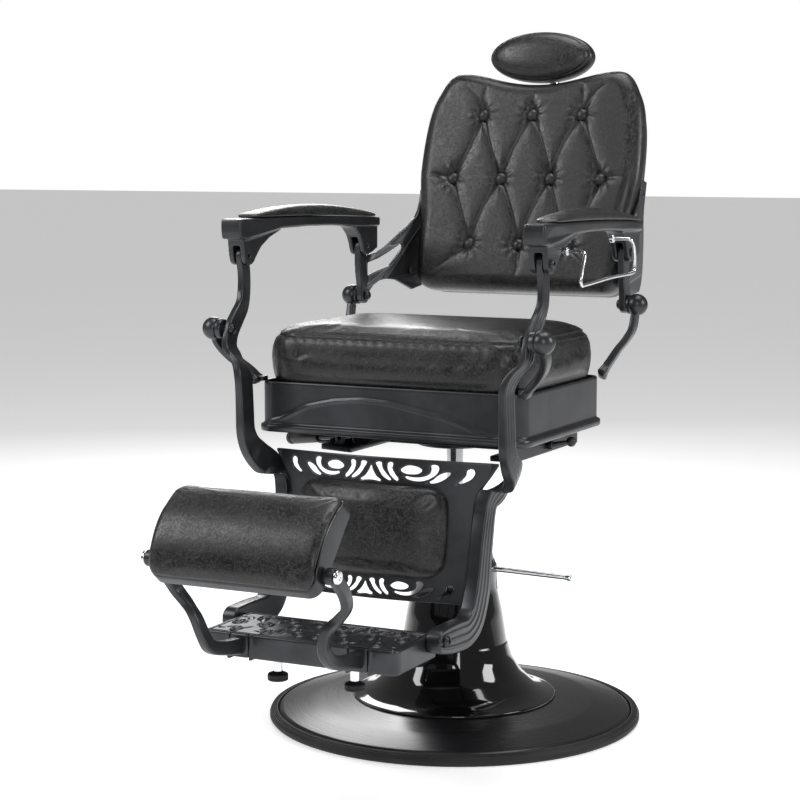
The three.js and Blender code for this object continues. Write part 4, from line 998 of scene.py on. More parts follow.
def smooth_loop(points, per=9):
    """Closed curve through the points, per steps between each two."""
    p = np.asarray(points, float)
    a, b, c, d = np.roll(p, 1, 0), p, np.roll(p, -1, 0), np.roll(p, -2, 0)
    loop = []
    for i in range(len(p)):
        for k in range(per):
            t = k / per
            loop.append(0.5 * (2 * b[i] + (c[i] - a[i]) * t
                               + (2 * a[i] - 5 * b[i] + 4 * c[i] - d[i]) * t ** 2
                               + (3 * b[i] - a[i] - 3 * c[i] + d[i]) * t ** 3))
    return np.array(loop)


# Openings of the right half of a scroll band, and the one in its middle: [across, up].
SCROLLS = [
    [(8, 17), (19, 18), (21, 9), (29, -1), (38, -10), (33, -11), (21, -4), (12, 9)],
    [(31, 18), (40, 18), (39, 9), (44, 0), (51, -9), (46, -11), (35, -2), (30, 9)],
    [(53, 7), (62, 14), (72, 15.5), (84, 13), (90, 8), (83, 2.5), (71, 1), (61, 2)],
    [(104, 18), (115, 18), (117, 11), (112, 2), (98, -7), (81, -10), (65, -7), (56, -1), (73, -4), (89, -3),
     (101, 2), (105, 10)],
    [(95, -13), (107, -7), (117, 2), (128, 7), (138, 7), (127, -4), (113, -11)],
    [(162, 13), (171, 15), (174, 8), (169, -1), (158, -8), (144, -12), (154, -4), (160, 4)]]
MIDDLE_SCROLL = [(0, 13), (4, 4), (11, -6), (22, -14), (0, -12), (-22, -14), (-11, -6), (-4, 4)]


def pierced_plate(name, outline, holes, half_thick, edge, voxel):
    """Flat plate with shaped holes and eased edges, drawn in XY."""
    curve = bpy.data.curves.new(name, "CURVE")
    curve.dimensions = "2D"
    curve.fill_mode = "BOTH"
    curve.extrude = (half_thick - edge) * MM
    curve.bevel_depth = edge * MM
    curve.offset = -edge * MM
    curve.bevel_resolution = 1
    for loop in [outline, *holes]:
        spline = curve.splines.new("POLY")
        spline.points.add(len(loop) - 1)
        for point, (x, y) in zip(spline.points, loop):
            point.co = (x * MM, y * MM, 0, 1)
        spline.use_cyclic_u = True
    drawn = bpy.data.objects.new(name + "_line", curve)
    scene.collection.objects.link(drawn)
    bpy.context.view_layer.update()
    graph = bpy.context.evaluated_depsgraph_get()
    mesh = bpy.data.meshes.new_from_object(drawn.evaluated_get(graph))
    bpy.data.objects.remove(drawn)
    obj = bpy.data.objects.new(name, mesh)
    scene.collection.objects.link(obj)
    return regrained(merged(obj), voxel, 3)


def calf_panel():
    """Bowed openwork panel between the rails, with a band of scrolls above and below the pad."""
    edge, spread = 175.8, 211.8
    right = [(edge, -116), (edge, -60), (edge, 0), (edge, 34), (edge + 1, 50), (edge + 5, 66),
             (edge + 14, 84), (spread - 8, 106), (spread, 118), (spread, 122)]
    outline = [(-x, h) for x, h in right[::-1]] + right
    holes = []
    for lift, scale in ((95, 1.0), (-98, 0.86)):
        for loop in [MIDDLE_SCROLL, *SCROLLS, *[[(-x, h) for x, h in s] for s in SCROLLS]]:
            holes.append(smooth_loop([(x * scale, lift + h * scale) for x, h in loop]))
    half_thick = 2.5
    plate = pierced_plate("calf_openwork", outline[::-1], holes, half_thick, 0.8, 1.7)
    p = spots(plate)
    move_spots(plate, panel_place(p[:, 0], p[:, 1], p[:, 2] - half_thick))
    return dressed(plate, "leg_frame", "gunmetal_casting", ["calf_panel"], 50)


def calf_cushion():
    """Pad on the calf panel, bent with it, its edge rolled over."""
    rings = []
    half_wide, low, high = 140, -76, 77
    for w, inset in ((0.4, 8), (1.2, 3.5), (5, 1.5), (12, 0.8), (18, 2.5), (22.5, 6.5), (25.5, 13),
                     (27.2, 22), (28.2, 32), (28.8, 44), (29.2, 56), (29.4, 68)):
        rings.append(at_height(rounded_rect(inset - half_wide, half_wide - inset, low + inset, high - inset,
                                            32 - inset * 0.4, 8, 14), w))
    pad = loft("calf_cushion_cover", rings)
    swollen(pad, 4.0, 3.0, 3.0, lambda p: p[:, 2] < 6)
    p = spots(pad)
    move_spots(pad, panel_place(p[:, 0], p[:, 1], p[:, 2]))
    dressed(pad, "leg_frame", "black_leather", ["calf_pad"], 0)
    return pad


# ---------- footrest ----------
def footrest_floor():
    """The footrest's casting, without its relief."""
    body = recast("footrest_casting", "footrest", 1.6, 3)
    dressed(body, "footrest", "gunmetal_casting", ["footrest"], 45)


def relief_height(x, y):
    """Cast scroll and leaf relief of the footrest, in mm above its ground, the same on both halves."""
    x = np.abs(x)
    y = -501 + (y + 515.5) * 0.72
    top = np.zeros_like(x)

    def ribbon(line, wide, tall):
        nonlocal top
        far = np.full(x.shape, 1e9)
        for a, b in zip(line[:-1], line[1:]):
            dx, dy = b[0] - a[0], b[1] - a[1]
            t = np.clip(((x - a[0]) * dx + (y - a[1]) * dy) / (dx * dx + dy * dy + 1e-9), 0, 1)
            far = np.minimum(far, np.hypot(x - a[0] - t * dx, y - a[1] - t * dy))
        top = np.maximum(top, tall * np.sqrt(np.clip(1 - (far / wide) ** 2, 0, 1)))

    def curl(cx, cy, r, first, way):
        t = np.linspace(0, 1, 22)
        a = math.radians(first) + way * t * 1.5 * 2 * math.pi
        reach = r * (0.14 + 0.86 * t ** 0.8)
        ribbon(np.column_stack([cx + reach * np.cos(a), cy + reach * np.sin(a)]), 1.7, 2.6)
        d = np.hypot(x - cx, y - cy)
        top[:] = np.maximum(top, 3.0 * np.sqrt(np.clip(1 - (d / 2.6) ** 2, 0, 1)))

    def leaf(x0, y0, angle, length, wide):
        a = math.radians(angle)
        u = ((x - x0) * math.cos(a) + (y - y0) * math.sin(a)) / length
        v = (-(x - x0) * math.sin(a) + (y - y0) * math.cos(a)) / wide
        body = np.clip(np.sin(np.clip(u, 0, 1) * math.pi), 0, 1) ** 0.7
        inside = np.clip(1 - np.abs(v) / np.maximum(body, 1e-3), 0, 1)
        vein = 1 - 0.45 * np.exp(-(np.abs(v) / 0.12) ** 2)
        top[:] = np.maximum(top, 2.4 * np.sqrt(inside) * body * vein * ((u > 0) & (u < 1)))

    curls = [(16, -474, 12, 200, 1), (16, -528, 12, 160, -1), (44, -500, 15, 20, 1),
             (72, -470, 12, 250, -1), (70, -532, 12, 110, 1), (98, -502, 14, 180, -1),
             (124, -472, 12, 300, 1), (128, -530, 11, 60, -1), (150, -500, 12, 0, 1)]
    for placed in curls:
        curl(*placed)
    leaves = [(4, -500, 0, 26, 6), (4, -486, 55, 22, 5), (4, -514, -55, 22, 5), (30, -484, 60, 22, 5),
              (30, -516, -60, 22, 5), (58, -492, 100, 26, 5), (58, -510, -80, 28, 5),
              (84, -488, 70, 24, 5), (84, -514, -60, 24, 5), (112, -492, 60, 24, 5),
              (112, -512, -50, 24, 5), (138, -486, 50, 24, 5), (138, -514, -50, 22, 5),
              (48, -474, 20, 18, 4), (48, -528, -20, 18, 4), (92, -474, 160, 16, 4),
              (92, -530, 200, 16, 4), (100, -468, 10, 20, 4), (152, -474, 20, 14, 4),
              (148, -530, -10, 16, 4)]
    for placed in leaves:
        leaf(*placed)
    rim = np.maximum(x - 165.5, np.maximum(-548 - y, y + 454))
    top = np.maximum(top, 2.0 * np.exp(-(rim / 1.3) ** 2))
    return top


def footrest_relief():
    """Cast relief laid in the footrest's tread: a closed slab with the pattern as its top."""
    half_wide, front, rear = 172, -581, -450
    ground, skirt, underside = 263.1, 262.6, 261.0
    xs, ys = np.linspace(-half_wide, half_wide, 300), np.linspace(front, rear, 118)
    x, y = np.meshgrid(xs, ys)
    z = ground + relief_height(x, y)
    edge = (np.abs(x) > half_wide - 1) | (y < front + 1) | (y > rear - 1)
    z = np.where(edge, skirt, z)
    rows, cols = x.shape
    points = np.column_stack([x.ravel(), y.ravel(), z.ravel()]).tolist()
    faces = [(i * cols + j, i * cols + j + 1, (i + 1) * cols + j + 1, (i + 1) * cols + j)
             for i in range(rows - 1) for j in range(cols - 1)]
    ring = [j for j in range(cols)] + [i * cols + cols - 1 for i in range(1, rows)]
    ring += [(rows - 1) * cols + j for j in range(cols - 2, -1, -1)]
    ring += [i * cols for i in range(rows - 2, 0, -1)]
    low = len(points)
    points += [(points[k][0], points[k][1], underside) for k in ring]
    for n, k in enumerate(ring):
        m = (n + 1) % len(ring)
        faces.append((k, low + n, low + m, ring[m]))
    points.append((0, -500, underside))
    hub = len(points) - 1
    faces += [(low + (n + 1) % len(ring), low + n, hub) for n in range(len(ring))]
    relief = merged(mesh_object("footrest_relief", points, faces), True)
    return dressed(relief, "footrest", "gunmetal_casting", (), 0)


def footrest_feet():
    """Threaded chrome feet with rubber pads, under the footrest."""
    stem = eased([(NUB, 185), (6.8, 185), (7.4, 185.8), (7.4, 227), (NUB, 227)], 0.5)
    both_sides(lambda n: turned(n, stem, 40, at=FOOT_AT), "foot_rod", "foot_stem", "footrest", "chrome")
    under = 177
    pad = [(NUB, under), (15.5, under), (17, under + 1.5), (17, under + 4), (16.4, under + 4.6),
           (17, under + 5.2), (17, under + 10), (15.4, under + 12), (10.6, under + 13),
           (7.6, under + 16), (7.6, under + 8), (NUB, under + 8)]
    both_sides(lambda n: turned(n, eased(pad, 0.9), 48, at=FOOT_AT), "foot_rubber", "foot_pad",
               "footrest", "black_rubber")


def leg_arms():
    """Curved arms from the footrest's front edge to the leg pad's pivots."""
    line = [(157, -760, 413), (157, -738, 398), (156, -716, 376), (150, -700, 352), (134.5, -697, 333),
            (117, -700, 313), (108, -695, 287), (108, -676, 263), (108, -640, 251), (108, -581, 243)]
    taper = ([0, 0.15, 0.5, 0.9, 1], [0.9, 1, 1, 1.1, 1.3])
    arm = lambda n: curved_arm(n, line, 10.5, 7, 3, (1, 0, 0), 60, taper, 4)
    both_sides(arm, "leg_curl", "leg_arm", "footrest", "gunmetal_casting", 50)
    on_pivot = lambda n, profile, sides, closed=False: turned(
        n, profile, sides, axis=ACROSS, at=LEG_PIVOT, closed=closed)
    ring = eased([(5.4, 150), (12, 150), (13, 151), (13, 163), (12, 164), (5.4, 164)], 1)
    both_sides(lambda n: on_pivot(n, ring, 48, True), "leg_eye", None, "footrest", "gunmetal_casting")
    block = lambda n: loft(n, [
        at_height(rounded_rect(91.3 + i, 124.7 - i, -586.5 + i, -557.5 - i, 3, 5, 4), z)
        for z, i in ((224.5, 1.2), (225.5, 0.3), (227, 0), (259.5, 0), (261, 0.3), (262, 1.2))])
    both_sides(block, "leg_block", None, "footrest", "gunmetal_casting")
    knob = eased([(NUB, 164.4), (9.6, 164.4), (11, 165.8), (11, 169.6), (9.4, 171.2), (4.4, 171.8),
                  (3.6, 170.2), (NUB, 170.2)], 0.8)
    both_sides(lambda n: on_pivot(n, knob, 48), "leg_knob", "leg_arm_knob", "footrest", "chrome")
    shank = [(NUB, 150.3), (5, 150.3), (5, 165), (NUB, 165)]
    both_sides(lambda n: on_pivot(n, shank, 24), "leg_shank", None, "footrest", "chrome")


def tray_place(x, y, z):
    """Leg pad: x across, y up along it from its pivot, z out of the tray."""
    x, y, z = np.broadcast_arrays(*(np.asarray(v, float) for v in (x, y, z)))
    c, s = math.cos(LEG_LEAN), math.sin(LEG_LEAN)
    return np.column_stack([x, LEG_PIVOT[1] + y * c - z * s, LEG_PIVOT[2] + y * s + z * c])


def tray_depth(p):
    """How far each point is out of the tray, the z of tray_place."""
    c, s = math.cos(LEG_LEAN), math.sin(LEG_LEAN)
    return -(p[:, 1] - LEG_PIVOT[1]) * s + (p[:, 2] - LEG_PIVOT[2]) * c


def tray_loop(inset, corner):
    """The tray's outline drawn in by the inset."""
    return rounded_rect(-146 + inset, 146 - inset, -35 + inset, 128 - inset, corner, 8, 24)


def pad_arc(y):
    """Height of the leg pad's barrel-shaped crown above the pivot plane."""
    return 17 + 27 * np.clip(1 - ((y - 46.5) / 80) ** 2, 0, 1) ** 0.85


def leg_tray():
    """Tray with end walls that follow the cushion's crown."""
    rings = []
    wall = lambda y: pad_arc(y) - 9
    steps = [(-13, 40, 0), (-13, 6, 0), (-12.2, 2, 0), (-10, 0, 0), (None, 0, -3.0), (None, 0.3, -1.0),
             (None, 1.4, 0), (None, 3, 0), (None, 4.2, -1.0), (-8.6, 4.4, 0), (-8.6, 40, 0)]
    for z, inset, drop in steps:
        loop = tray_loop(inset, 20 - min(inset, 8))
        high = wall(loop[:, 1]) + drop if z is None else np.full(len(loop), z)
        rings.append(tray_place(loop[:, 0], loop[:, 1], high))
    tray = loft("leg_tray_casting", rings)
    dressed(tray, "leg_pad", "gunmetal_casting", ["leg_tray"], 40)
    lug = eased([(NUB, 144), (10.4, 144), (9, 145.6), (9, 149.4), (NUB, 149.4)], 0.6)
    both_sides(lambda n: turned(n, lug, 40, axis=ACROSS, at=LEG_PIVOT), "leg_lug", None, "leg_pad",
               "gunmetal_casting")


def leg_cushion():
    """Barrel-crowned pad that fills the tray and rolls over its walls."""
    rings = []
    for share, inset in ((0.0, 9), (0.03, 5), (0.12, 4.8), (0.5, 4.8)):
        loop = tray_loop(inset, 18)
        high = -8.4 + share * (pad_arc(loop[:, 1]) + 2)
        rings.append(tray_place(loop[:, 0], loop[:, 1], high))
    for drop, inset in ((10, 4.7), (8.6, 4.0), (7.9, 1.2), (6.6, -0.6)):
        loop = tray_loop(inset, 20)
        rings.append(tray_place(loop[:, 0], loop[:, 1], pad_arc(loop[:, 1]) - drop))
    for inset in (-0.6, 0.3, 1.8, 4, 7.5, 12, 18, 26, 36, 50, 65, 80):
        loop = tray_loop(inset, max(20 - 0.1 * inset, 3))
        lift = math.sqrt(1 - (1 - min((inset + 0.8) / 16, 1)) ** 2)
        rings.append(tray_place(loop[:, 0], loop[:, 1], pad_arc(loop[:, 1]) - 5.5 + 5.5 * lift))
    pad = loft("leg_cushion_cover", rings)
    swollen(pad, 4.0, 2.5, 3.0, lambda p: tray_depth(p) < 8)
    dressed(pad, "leg_pad", "black_leather", ["leg_cushion"], 0)
    return pad


# ---------- back ----------
def back_place(x, v, n):
    """Leaning back: x across, v up along it, n out of its front."""
    x, v, n = np.broadcast_arrays(*(np.asarray(a, float) for a in (x, v, n)))
    return np.column_stack([x, BACK_FOOT[0] + BACK_UP[1] * v + BACK_OUT[1] * n,
                            BACK_FOOT[1] + BACK_UP[2] * v + BACK_OUT[2] * n])


def bezier(p0, p1, p2, p3, count=40):
    """Cubic curve from p0 towards p3, without its last point."""
    t = np.linspace(0, 1, count, endpoint=False)[:, None]
    p0, p1, p2, p3 = (np.array(p, float) for p in (p0, p1, p2, p3))
    return p0 * (1 - t) ** 3 + 3 * p1 * t * (1 - t) ** 2 + 3 * p2 * t ** 2 * (1 - t) + p3 * t ** 3


def back_outline(inset, count=440):
    """Evenly spaced points round the back, seen from the front."""
    half_wide, tall = 220, 424
    h, low, high = half_wide - inset, inset, tall - inset
    right = [
        bezier((0, low), (h / 3, low), (h / 2, low), (h - 50, low)),
        bezier((h - 50, low), (h - 22, low), (h - 10, low + 12), (h - 8, low + 40)),
        bezier((h - 8, low + 40), (h - 4, low + 120), (h, high - 220), (h, high - 190)),
        bezier((h, high - 190), (h, high - 130), (h - 2, high - 70), (h - 20, high - 40)),
        bezier((h - 20, high - 40), (h - 32, high - 12), (h - 44, high), (h - 60, high)),
        bezier((h - 60, high), (h - 110, high), (h - 150, high - 26), (0, high - 26))]
    half = np.vstack([*right, [(0, high - 26)]])
    whole = np.vstack([half, (half * (-1, 1))[::-1][1:-1]])
    ring = np.vstack([whole, whole[:1]])
    far = np.concatenate([[0], np.cumsum(np.linalg.norm(np.diff(ring, axis=0), axis=1))])
    want = np.linspace(0, far[-1], count, endpoint=False)
    return np.column_stack([np.interp(want, far, ring[:, 0]), np.interp(want, far, ring[:, 1])])


# Buttons of the back [across, up], the pairs a pleat joins, and the pleats that run out to the edge.
TUFTS = np.array([
    (-102.8, 344), (0, 344), (102.8, 344), (-154.2, 217), (-51.4, 217), (51.4, 217), (154.2, 217),
    (-102.8, 87), (0, 87), (102.8, 87)], float)
PLEATS = [(0, 3), (0, 4), (1, 4), (1, 5), (2, 5), (2, 6), (3, 7), (4, 7), (4, 8), (5, 8), (5, 9), (6, 9)]
EDGE_PLEATS = [(0, (-150, 408)), (0, (-96, 418)), (1, (2, 396)), (2, (96, 418)), (2, (152, 406)),
               (3, (-216, 220)), (6, (216, 220)), (7, (-190, 20)), (9, (190, 20)), (8, (0, 4))]


def tufting(x, v):
    """Depth of the tufted front below its crest, in mm: buttons, pleats between them and pillows."""
    from_button = np.full(x.shape, 1e9)
    swirl = np.zeros(x.shape)
    for k, (bx, bv) in enumerate(TUFTS):
        r = np.hypot(x - bx, v - bv)
        a = np.arctan2(v - bv, x - bx)
        swirl += 0.55 * np.exp(-((r - 19) / 10) ** 2) * np.sin(9 * a + 1.7 * k + 0.05 * r)
        from_button = np.minimum(from_button, r)
    from_pleat = np.full(x.shape, 1e9)
    lines = [(TUFTS[a], TUFTS[b], 0.5) for a, b in PLEATS]
    lines += [(TUFTS[a], np.array(b, float), 1.0) for a, b in EDGE_PLEATS]
    crease = np.zeros(x.shape)
    for n, (a, b, fade) in enumerate(lines):
        d = b - a
        long = np.hypot(*d)
        t = np.clip(((x - a[0]) * d[0] + (v - a[1]) * d[1]) / long ** 2, 0, 1)
        sag = 6.5 * math.sin(2.4 * n + 1) * np.sin(math.pi * t)
        off = np.abs(((x - a[0]) * -d[1] + (v - a[1]) * d[0]) / long - sag)
        past = np.hypot(x - a[0] - t * d[0], v - a[1] - t * d[1])
        off = np.where((t > 0) & (t < 1), off, past)
        soft = 1 - t ** 2 if fade == 1.0 else np.ones_like(t)
        from_pleat = np.minimum(from_pleat, off + (1 - soft) * 22)
        crease = np.maximum(crease, soft * np.exp(-np.abs(off) / 1.5))
    near = np.exp(-(from_button / 27) ** 2)
    floor = 2.6 + 8.5 * near
    pillow = 30.0
    rise = np.sqrt(1 - (1 - np.clip(from_pleat / pillow, 0, 1)) ** 2)
    depth = np.maximum(floor * (1 - rise ** 0.8), 0)
    return depth + 1.6 * crease + 3.5 * np.exp(-(from_button / 13) ** 4) + swirl


def back_cushion():
    """Tufted back cover: rolled edges, button-pulled pillows in front, flat where it meets the board."""
    count, rings = 480, []
    outline = back_outline(0, count)
    middle = np.array([0, 206.0])
    reach = np.linalg.norm(outline - middle, axis=1)[:, None]
    way = (outline - middle) / reach
    roll = 32.0
    up = np.clip((outline[:, 1] - 130) / 110, 0, 1)
    belly = (2 + 9 * up * up * (3 - 2 * up))[:, None]
    for n, inset, share in ((-53.6, 30, 0), (-53.6, 6, 0), (-52, 3, 0), (-48, 1.2, 0.1), (-42, 0.3, 0.45),
                            (-34, 0, 0.8), (-25, 0, 0.98)):
        loop = outline - way * (inset - belly * share)
        rings.append(back_place(loop[:, 0], loop[:, 1], n))
    for share in np.concatenate([np.linspace(0.0, 0.3, 36), np.linspace(0.31, 0.995, 118)]):
        inset = share * (reach + belly) - belly
        loop = outline - way * inset
        e = np.clip((inset[:, 0] + belly[:, 0]) / roll, 0, 1)
        n = -20 + 24 * np.sqrt(1 - (1 - e) ** 2)
        full = np.clip((inset[:, 0] + belly[:, 0] - 4) / 26, 0, 1)
        n = n - tufting(loop[:, 0], loop[:, 1]) * full * full * (3 - 2 * full)
        rings.append(back_place(loop[:, 0], loop[:, 1], n))
    cover = loft("back_tufted_cover", rings)
    dressed(cover, "back", "black_leather", ["back_cushion"], 0)
    low = tufting(TUFTS[:, 0], TUFTS[:, 1])
    crest, proud = 4, 7
    places = back_place(TUFTS[:, 0], TUFTS[:, 1], crest - low + proud)
    buttons = len(TUFTS)
    repeated("back_buttons", BUTTON, places, [BACK_OUT] * buttons, [ACROSS] * buttons, "back",
             "black_leather", 1.12)
    return cover


def back_board():
    """Moulded shell behind the tufted cover, its rear edge rounded."""
    loops = [(-76, 12), (-75.4, 7), (-73.5, 4), (-71, 3), (-58, 3), (-55.2, 3.4), (-54.2, 4.5)]
    rings = [back_place(*back_outline(inset, 240).T, n) for n, inset in loops]
    dressed(loft("back_shell", rings), "back", "grip_plastic", ["back_board"], 40)


def back_frames():
    """Cast brackets behind the board, down to the rear pivots."""
    both_sides(lambda n: recast(n, "back_frame_left", 1.5, 5), "back_bracket", "back_frame", "back",
               "gunmetal_casting", 50)


def head_place(points):
    """Points drawn about the headrest's tilt axis, leaned back: x across, y back, z up."""
    p = np.asarray(points, float)
    c, s = math.cos(-HEAD_LEAN), math.sin(-HEAD_LEAN)
    return np.column_stack([p[:, 0], HEAD_AXIS[1] + p[:, 1] * c - p[:, 2] * s,
                            HEAD_AXIS[2] + p[:, 1] * s + p[:, 2] * c])


def headrest():
    """Oval headrest: crowned face inside a stitched seam, softer sides, on a plate that tilts."""
    steps = [(-37.6, 0.1), (-37.6, 0.55), (-38.6, 0.74), (-42, 0.88), (-50, 0.975), (-60, 1.03),
             (-70, 1.05), (-80, 1.035), (-86, 1.0), (-89.5, 0.955), (-93, 0.9), (-96.5, 0.82),
             (-99.5, 0.7), (-101.8, 0.52), (-103, 0.3), (-103.3, 0.1)]
    a = np.linspace(0, 2 * math.pi, 96, endpoint=False)
    oval = lambda y, scale: head_place(np.column_stack([
        103 * scale * np.cos(a), np.full(96, y), 2.5 + (47 * (1 - (1 - scale) * 0.94)) * np.sin(a)]))
    pad = loft("headrest_cover", [oval(y, scale) for y, scale in steps])
    front = head_place([(0, -44, 6)])[0]
    swollen(pad, 3.2, 2.0, 3.0, lambda p: p[:, 1] > front[1])
    lean = np.array([0, math.cos(HEAD_LEAN), -math.sin(HEAD_LEAN)])
    deep = lambda p: (p - HEAD_AXIS) @ lean
    drawn_in(pad, lambda p: 1.8 * np.exp(-((deep(p) + 88) / 1.7) ** 2))
    dressed(pad, "headrest", "black_leather", ["headrest_cushion"], 0)
    stitched("headrest_stitches", pad, oval(-91.5, 0.93), 4.4, "headrest")
    dressed(recast("headrest_backplate", "headrest_plate", 1.5, 4), "headrest", "gunmetal_casting",
            ["headrest_plate"], 45)
    dressed(recast("headrest_sleeve", "headrest_socket", 1.5, 4), "back", "gunmetal_casting",
            ["headrest_socket"], 45)
    post_out, post_top = -92, 466
    foot = back_place([0], [0], [post_out])[0]
    bar = eased([(NUB, 230), (8, 230), (9, 231), (9, 462), (NUB, 462)], 0.8)
    rod = turned("headrest_rod", bar, 48, axis=BACK_UP, at=foot)
    dressed(rod, "headrest_post", "chrome", ["headrest_post"])
    top = back_place([0], [post_top], [post_out])[0]
    bar = eased([(NUB, -34), (6, -34), (7, -33), (7, 33), (6, 34), (NUB, 34)], 0.8)
    cross = turned("headrest_axle", bar, 40, axis=ACROSS, at=top)
    dressed(cross, "headrest_post", "chrome")
    drum = eased([(NUB, -16), (12, -16), (13, -15), (13, 15), (12, 16), (NUB, 16)], 1)
    knuckle = turned("headrest_knuckle", drum, 48, axis=ACROSS, at=top)
    dressed(knuckle, "headrest_post", "chrome")


# ---------- armrests ----------
def arm_line(y):
    """Centre of the armrest across, and the height of its top face, at y."""
    t = np.clip((y + 273) / 413, 0, 1)
    s = np.maximum(0, (y + 273) / 457)
    return 284 - 16 * t, 917 + 12 * s * (1 - s) - 10 * s


def armrests():
    """Cast armrests with the ear of each pivot."""
    both_sides(lambda n: recast(n, "armrest_left", 1.5, 6), "arm_casting", "armrest", BOTH_ARMS,
               "gunmetal_casting", 60)


def arm_pads():
    """Slim crowned pads that narrow towards the front, their foot tucked in under the edge."""
    first, last, end_share, band = -265.0, 174.0, 0.03, 3
    turns = np.radians(np.concatenate([[-28, -14], np.linspace(0, 180, 29), [194, 208]]))
    c, s = np.cos(turns), np.sin(turns)
    shares = np.concatenate([
        [0, 0.004, 0.012], np.linspace(0.025, 0.975, 60), [0.988, 0.996, 1.0]])

    def make(name):
        rings = []
        for share in shares:
            y = first + (last - first) * share
            x, z = arm_line(y)
            from_end = min(share, 1 - share)
            end = 1
            if from_end < end_share:
                end = math.sqrt(max(1 - (1 - from_end / end_share) ** 2, 0))
            t = min(1, (y - first + 8) / 60)
            wide = 22.6 * (0.5 + 0.5 * math.sqrt(t * (2 - t))) * max(0.12, end)
            rise = (4.5 + 17 * math.sin(math.pi * min(max(share, 0), 1)) ** 0.7) * max(0.15, end)
            side = band * min(1, end)
            crown = side + (rise - side) * np.abs(s) ** 0.85
            tuck = side * (1 + s / 0.47)
            rings.append(np.column_stack([
                x + wide * np.sign(c) * np.abs(c) ** 0.72, np.full(len(turns), y),
                z + 0.4 + np.where(s >= 0, crown, tuck)]))
        pad = loft(name, rings)
        soft = pad.modifiers.new("soft", "SUBSURF")
        soft.levels = soft.render_levels = 1
        return baked(pad)

    for pad in both_sides(make, "arm_cushion", "arm_pad", BOTH_ARMS, "black_leather", 0):
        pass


def towel_bar():
    """Bent chrome wire under the left armrest, with a collar at each end."""
    out = 340
    line = [(300.3, -221, 870), (316, -221, 870), (335, -223, 870), (out, -229, 866), (out, -241, 838),
            (out, -245, 822), (out, -241, 816), (out, -231, 816), (out, -111, 822), (out, -3, 825),
            (out, 3, 827), (out, 5, 834), (out, -5, 876), (336, -10, 882), (326, -11, 883),
            (300.3, -11, 883)]
    wire = swept("towel_wire", smooth_line(line, 150), disc(3, 16), (1, 0.3, 0.2))
    dressed(wire, "arm_left", "chrome", ["towel_bar"], 60)
    ring = eased([(NUB, 300.4), (6.2, 300.4), (7, 301.2), (7, 307), (5.6, 308.3), (NUB, 308.3)], 0.7)
    for k, (y, z) in enumerate(((-221, 870), (-11, 883))):
        collar = turned(f"towel_collar_{k}", ring, 40, axis=ACROSS, at=(0, y, z))
        dressed(collar, "arm_left", "chrome")


# ---------- screws and bolts ----------
def fasteners():
    """Socket screws at every pivot, and small screws that hold the back plates."""
    out, inwards = ACROSS, (-1, 0, 0)
    sets = {
        "seat": [((271.5, *FRONT_PIVOT), inwards), ((257.5, *REAR_PIVOT), inwards)],
        "leg_frame": [((204.5, *FOOTREST_PIVOT), out)],
        "back": [((231.2, 291, 880), out), ((231.2, 335, 952), out), ((231.2, 281, 800), out)],
    }
    for body, items in sets.items():
        for side, sign in SIDES:
            places = [np.array(p) * (sign, 1, 1) for p, _ in items]
            faces = [np.array(f) * (sign, 1, 1) for _, f in items]
            repeated(f"screws_{body}_{side}", SCREW, places, faces, [(0, 0, 1)] * len(items), body,
                     "bolt_steel", 0.8 if body == "back" else 1.15)
    for side, sign in SIDES:
        places = [np.array(p) * (sign, 1, 1)
                  for p in ((301.5, *ARM_FRONT_PIVOT), (285.5, *ARM_REAR_PIVOT))]
        repeated(f"screws_arm_{side}", SCREW, places, [(sign, 0, 0)] * 2, [(0, 0, 1)] * 2, f"arm_{side}",
                 "bolt_steel", 1.0)
    pins = {
        "front_pivot_bolt": ("seat", 6, 268, 302.5, FRONT_PIVOT),
        "rear_pivot_bolt": ("seat", 6, 255, 289, REAR_PIVOT),
        "footrest_bolt": ("leg_frame", 6, 166, 205, FOOTREST_PIVOT),
        "arm_pin_front": (BOTH_ARMS, 4, 291.5, 301.8, ARM_FRONT_PIVOT),
        "arm_pin_rear": (BOTH_ARMS, 4, 253, 285.8, ARM_REAR_PIVOT)}
    for node, (bodies, r, start, end, (y, z)) in pins.items():
        profile = [(NUB, start), (r, start), (r, end), (NUB, end)]
        shank = lambda n: turned(n, profile, 28, axis=ACROSS, at=(0, y, z))
        both_sides(shank, node + "_shank", node, bodies, "bolt_steel")


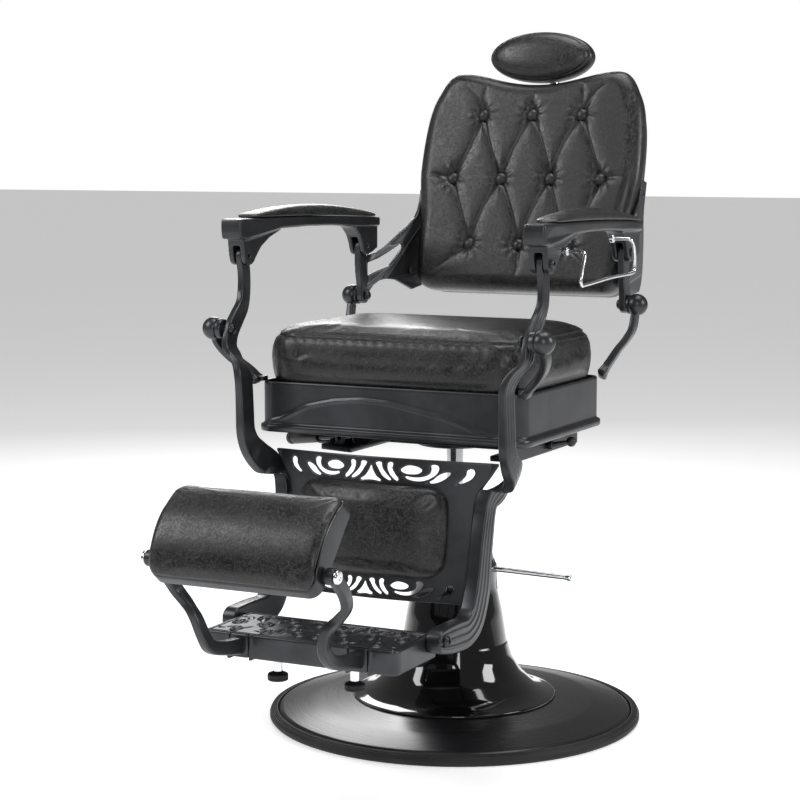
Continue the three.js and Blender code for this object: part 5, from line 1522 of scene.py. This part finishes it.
# ---------- the room ----------
def room():
    """Plain pale floor, soft studio lamps and the camera. Its lengths are metres."""
    half = 40
    corners = [(-half, -half, 0), (half, -half, 0), (half, half, 0), (-half, half, 0)]
    floor_mesh = bpy.data.meshes.new("studio_floor")
    floor_mesh.from_pydata(corners, [], [(0, 1, 2, 3)])
    floor = bpy.data.objects.new("studio_floor", floor_mesh)
    scene.collection.objects.link(floor)
    tree, at = started("studio_floor_paint")
    shade = add(tree, "ShaderNodeTexNoise", {"Vector": at, "Scale": 2.0})
    tint = add(tree, "ShaderNodeValToRGB", {"Fac": shade.outputs["Fac"]},
               stops=[(0.3, "#f2f2f2"), (0.7, "#f5f5f5")])
    floor_mesh.materials.append(finish_tree("studio_floor_paint", {
        "Roughness": 0.85, "Emission Color": (1, 1, 1, 1), "Emission Strength": 0.4}, tint.outputs["Color"]))
    world = bpy.data.worlds.new("studio_air")
    world.use_nodes = True
    world.node_tree.nodes.clear()
    nodes = world.node_tree
    sky = add(nodes, "ShaderNodeBackground", {"Color": (1, 1, 1, 1), "Strength": 1.0})
    fill = add(nodes, "ShaderNodeBackground", {"Color": (1, 1, 1, 1), "Strength": 0.17})
    ray = add(nodes, "ShaderNodeLightPath")
    air = add(nodes, "ShaderNodeMixShader", {0: ray.outputs["Is Camera Ray"], 1: fill.outputs["Background"],
                                             2: sky.outputs["Background"]})
    add(nodes, "ShaderNodeOutputWorld", {"Surface": air.outputs["Shader"]})
    scene.world = world
    lamps = [
        ("key", (-2.4, -2.2, 2.8), (0, 0, 0.6), 1.5, 60), ("side", (3.0, 0.4, 1.9), (0, 0, 0.7), 1.1, 40),
        ("top", (0.3, 0.2, 3.4), (0, 0, 0.6), 1.8, 60), ("rim", (-1.8, 2.6, 2.2), (0, 0, 0.9), 1.2, 40),
        ("front", (1.9, -3.4, 1.9), (0, 0, 0.5), 1.0, 26)]
    for name, at, aim, size, power in lamps:
        light = bpy.data.lights.new(f"studio_{name}", "AREA")
        light.shape = "RECTANGLE"
        light.size = size
        light.size_y = size * 1.2
        light.energy = power
        lamp = bpy.data.objects.new(f"studio_{name}", light)
        lamp.location = at
        lamp.rotation_euler = (Vector(aim) - Vector(at)).to_track_quat("-Z", "Y").to_euler()
        scene.collection.objects.link(lamp)
    camera = bpy.data.cameras.new("studio_camera")
    camera.lens = 93.9
    camera.sensor_width = 36
    camera.clip_end = 100
    eye = bpy.data.objects.new("studio_camera", camera)
    eye.location = (1.6001, -3.4059, 1.0374)
    eye.rotation_euler = (math.radians(90 - 6.87), 0, math.radians(26.69))
    scene.collection.objects.link(eye)
    scene.camera = eye
    scene.view_settings.view_transform = "Standard"


room()
base_plate()
base_rim()
column_bell()
pump()
pump_lever()
apron_skirt()
seat_cushion()
underseat()
brackets()
levers()
side_frames()
calf_panel()
calf_cushion()
footrest_floor()
footrest_relief()
footrest_feet()
leg_arms()
leg_tray()
leg_cushion()
back_cushion()
back_board()
back_frames()
headrest()
armrests()
arm_pads()
towel_bar()
fasteners()
for unit in (STITCH, SCREW, BUTTON):
    bpy.data.objects.remove(unit)
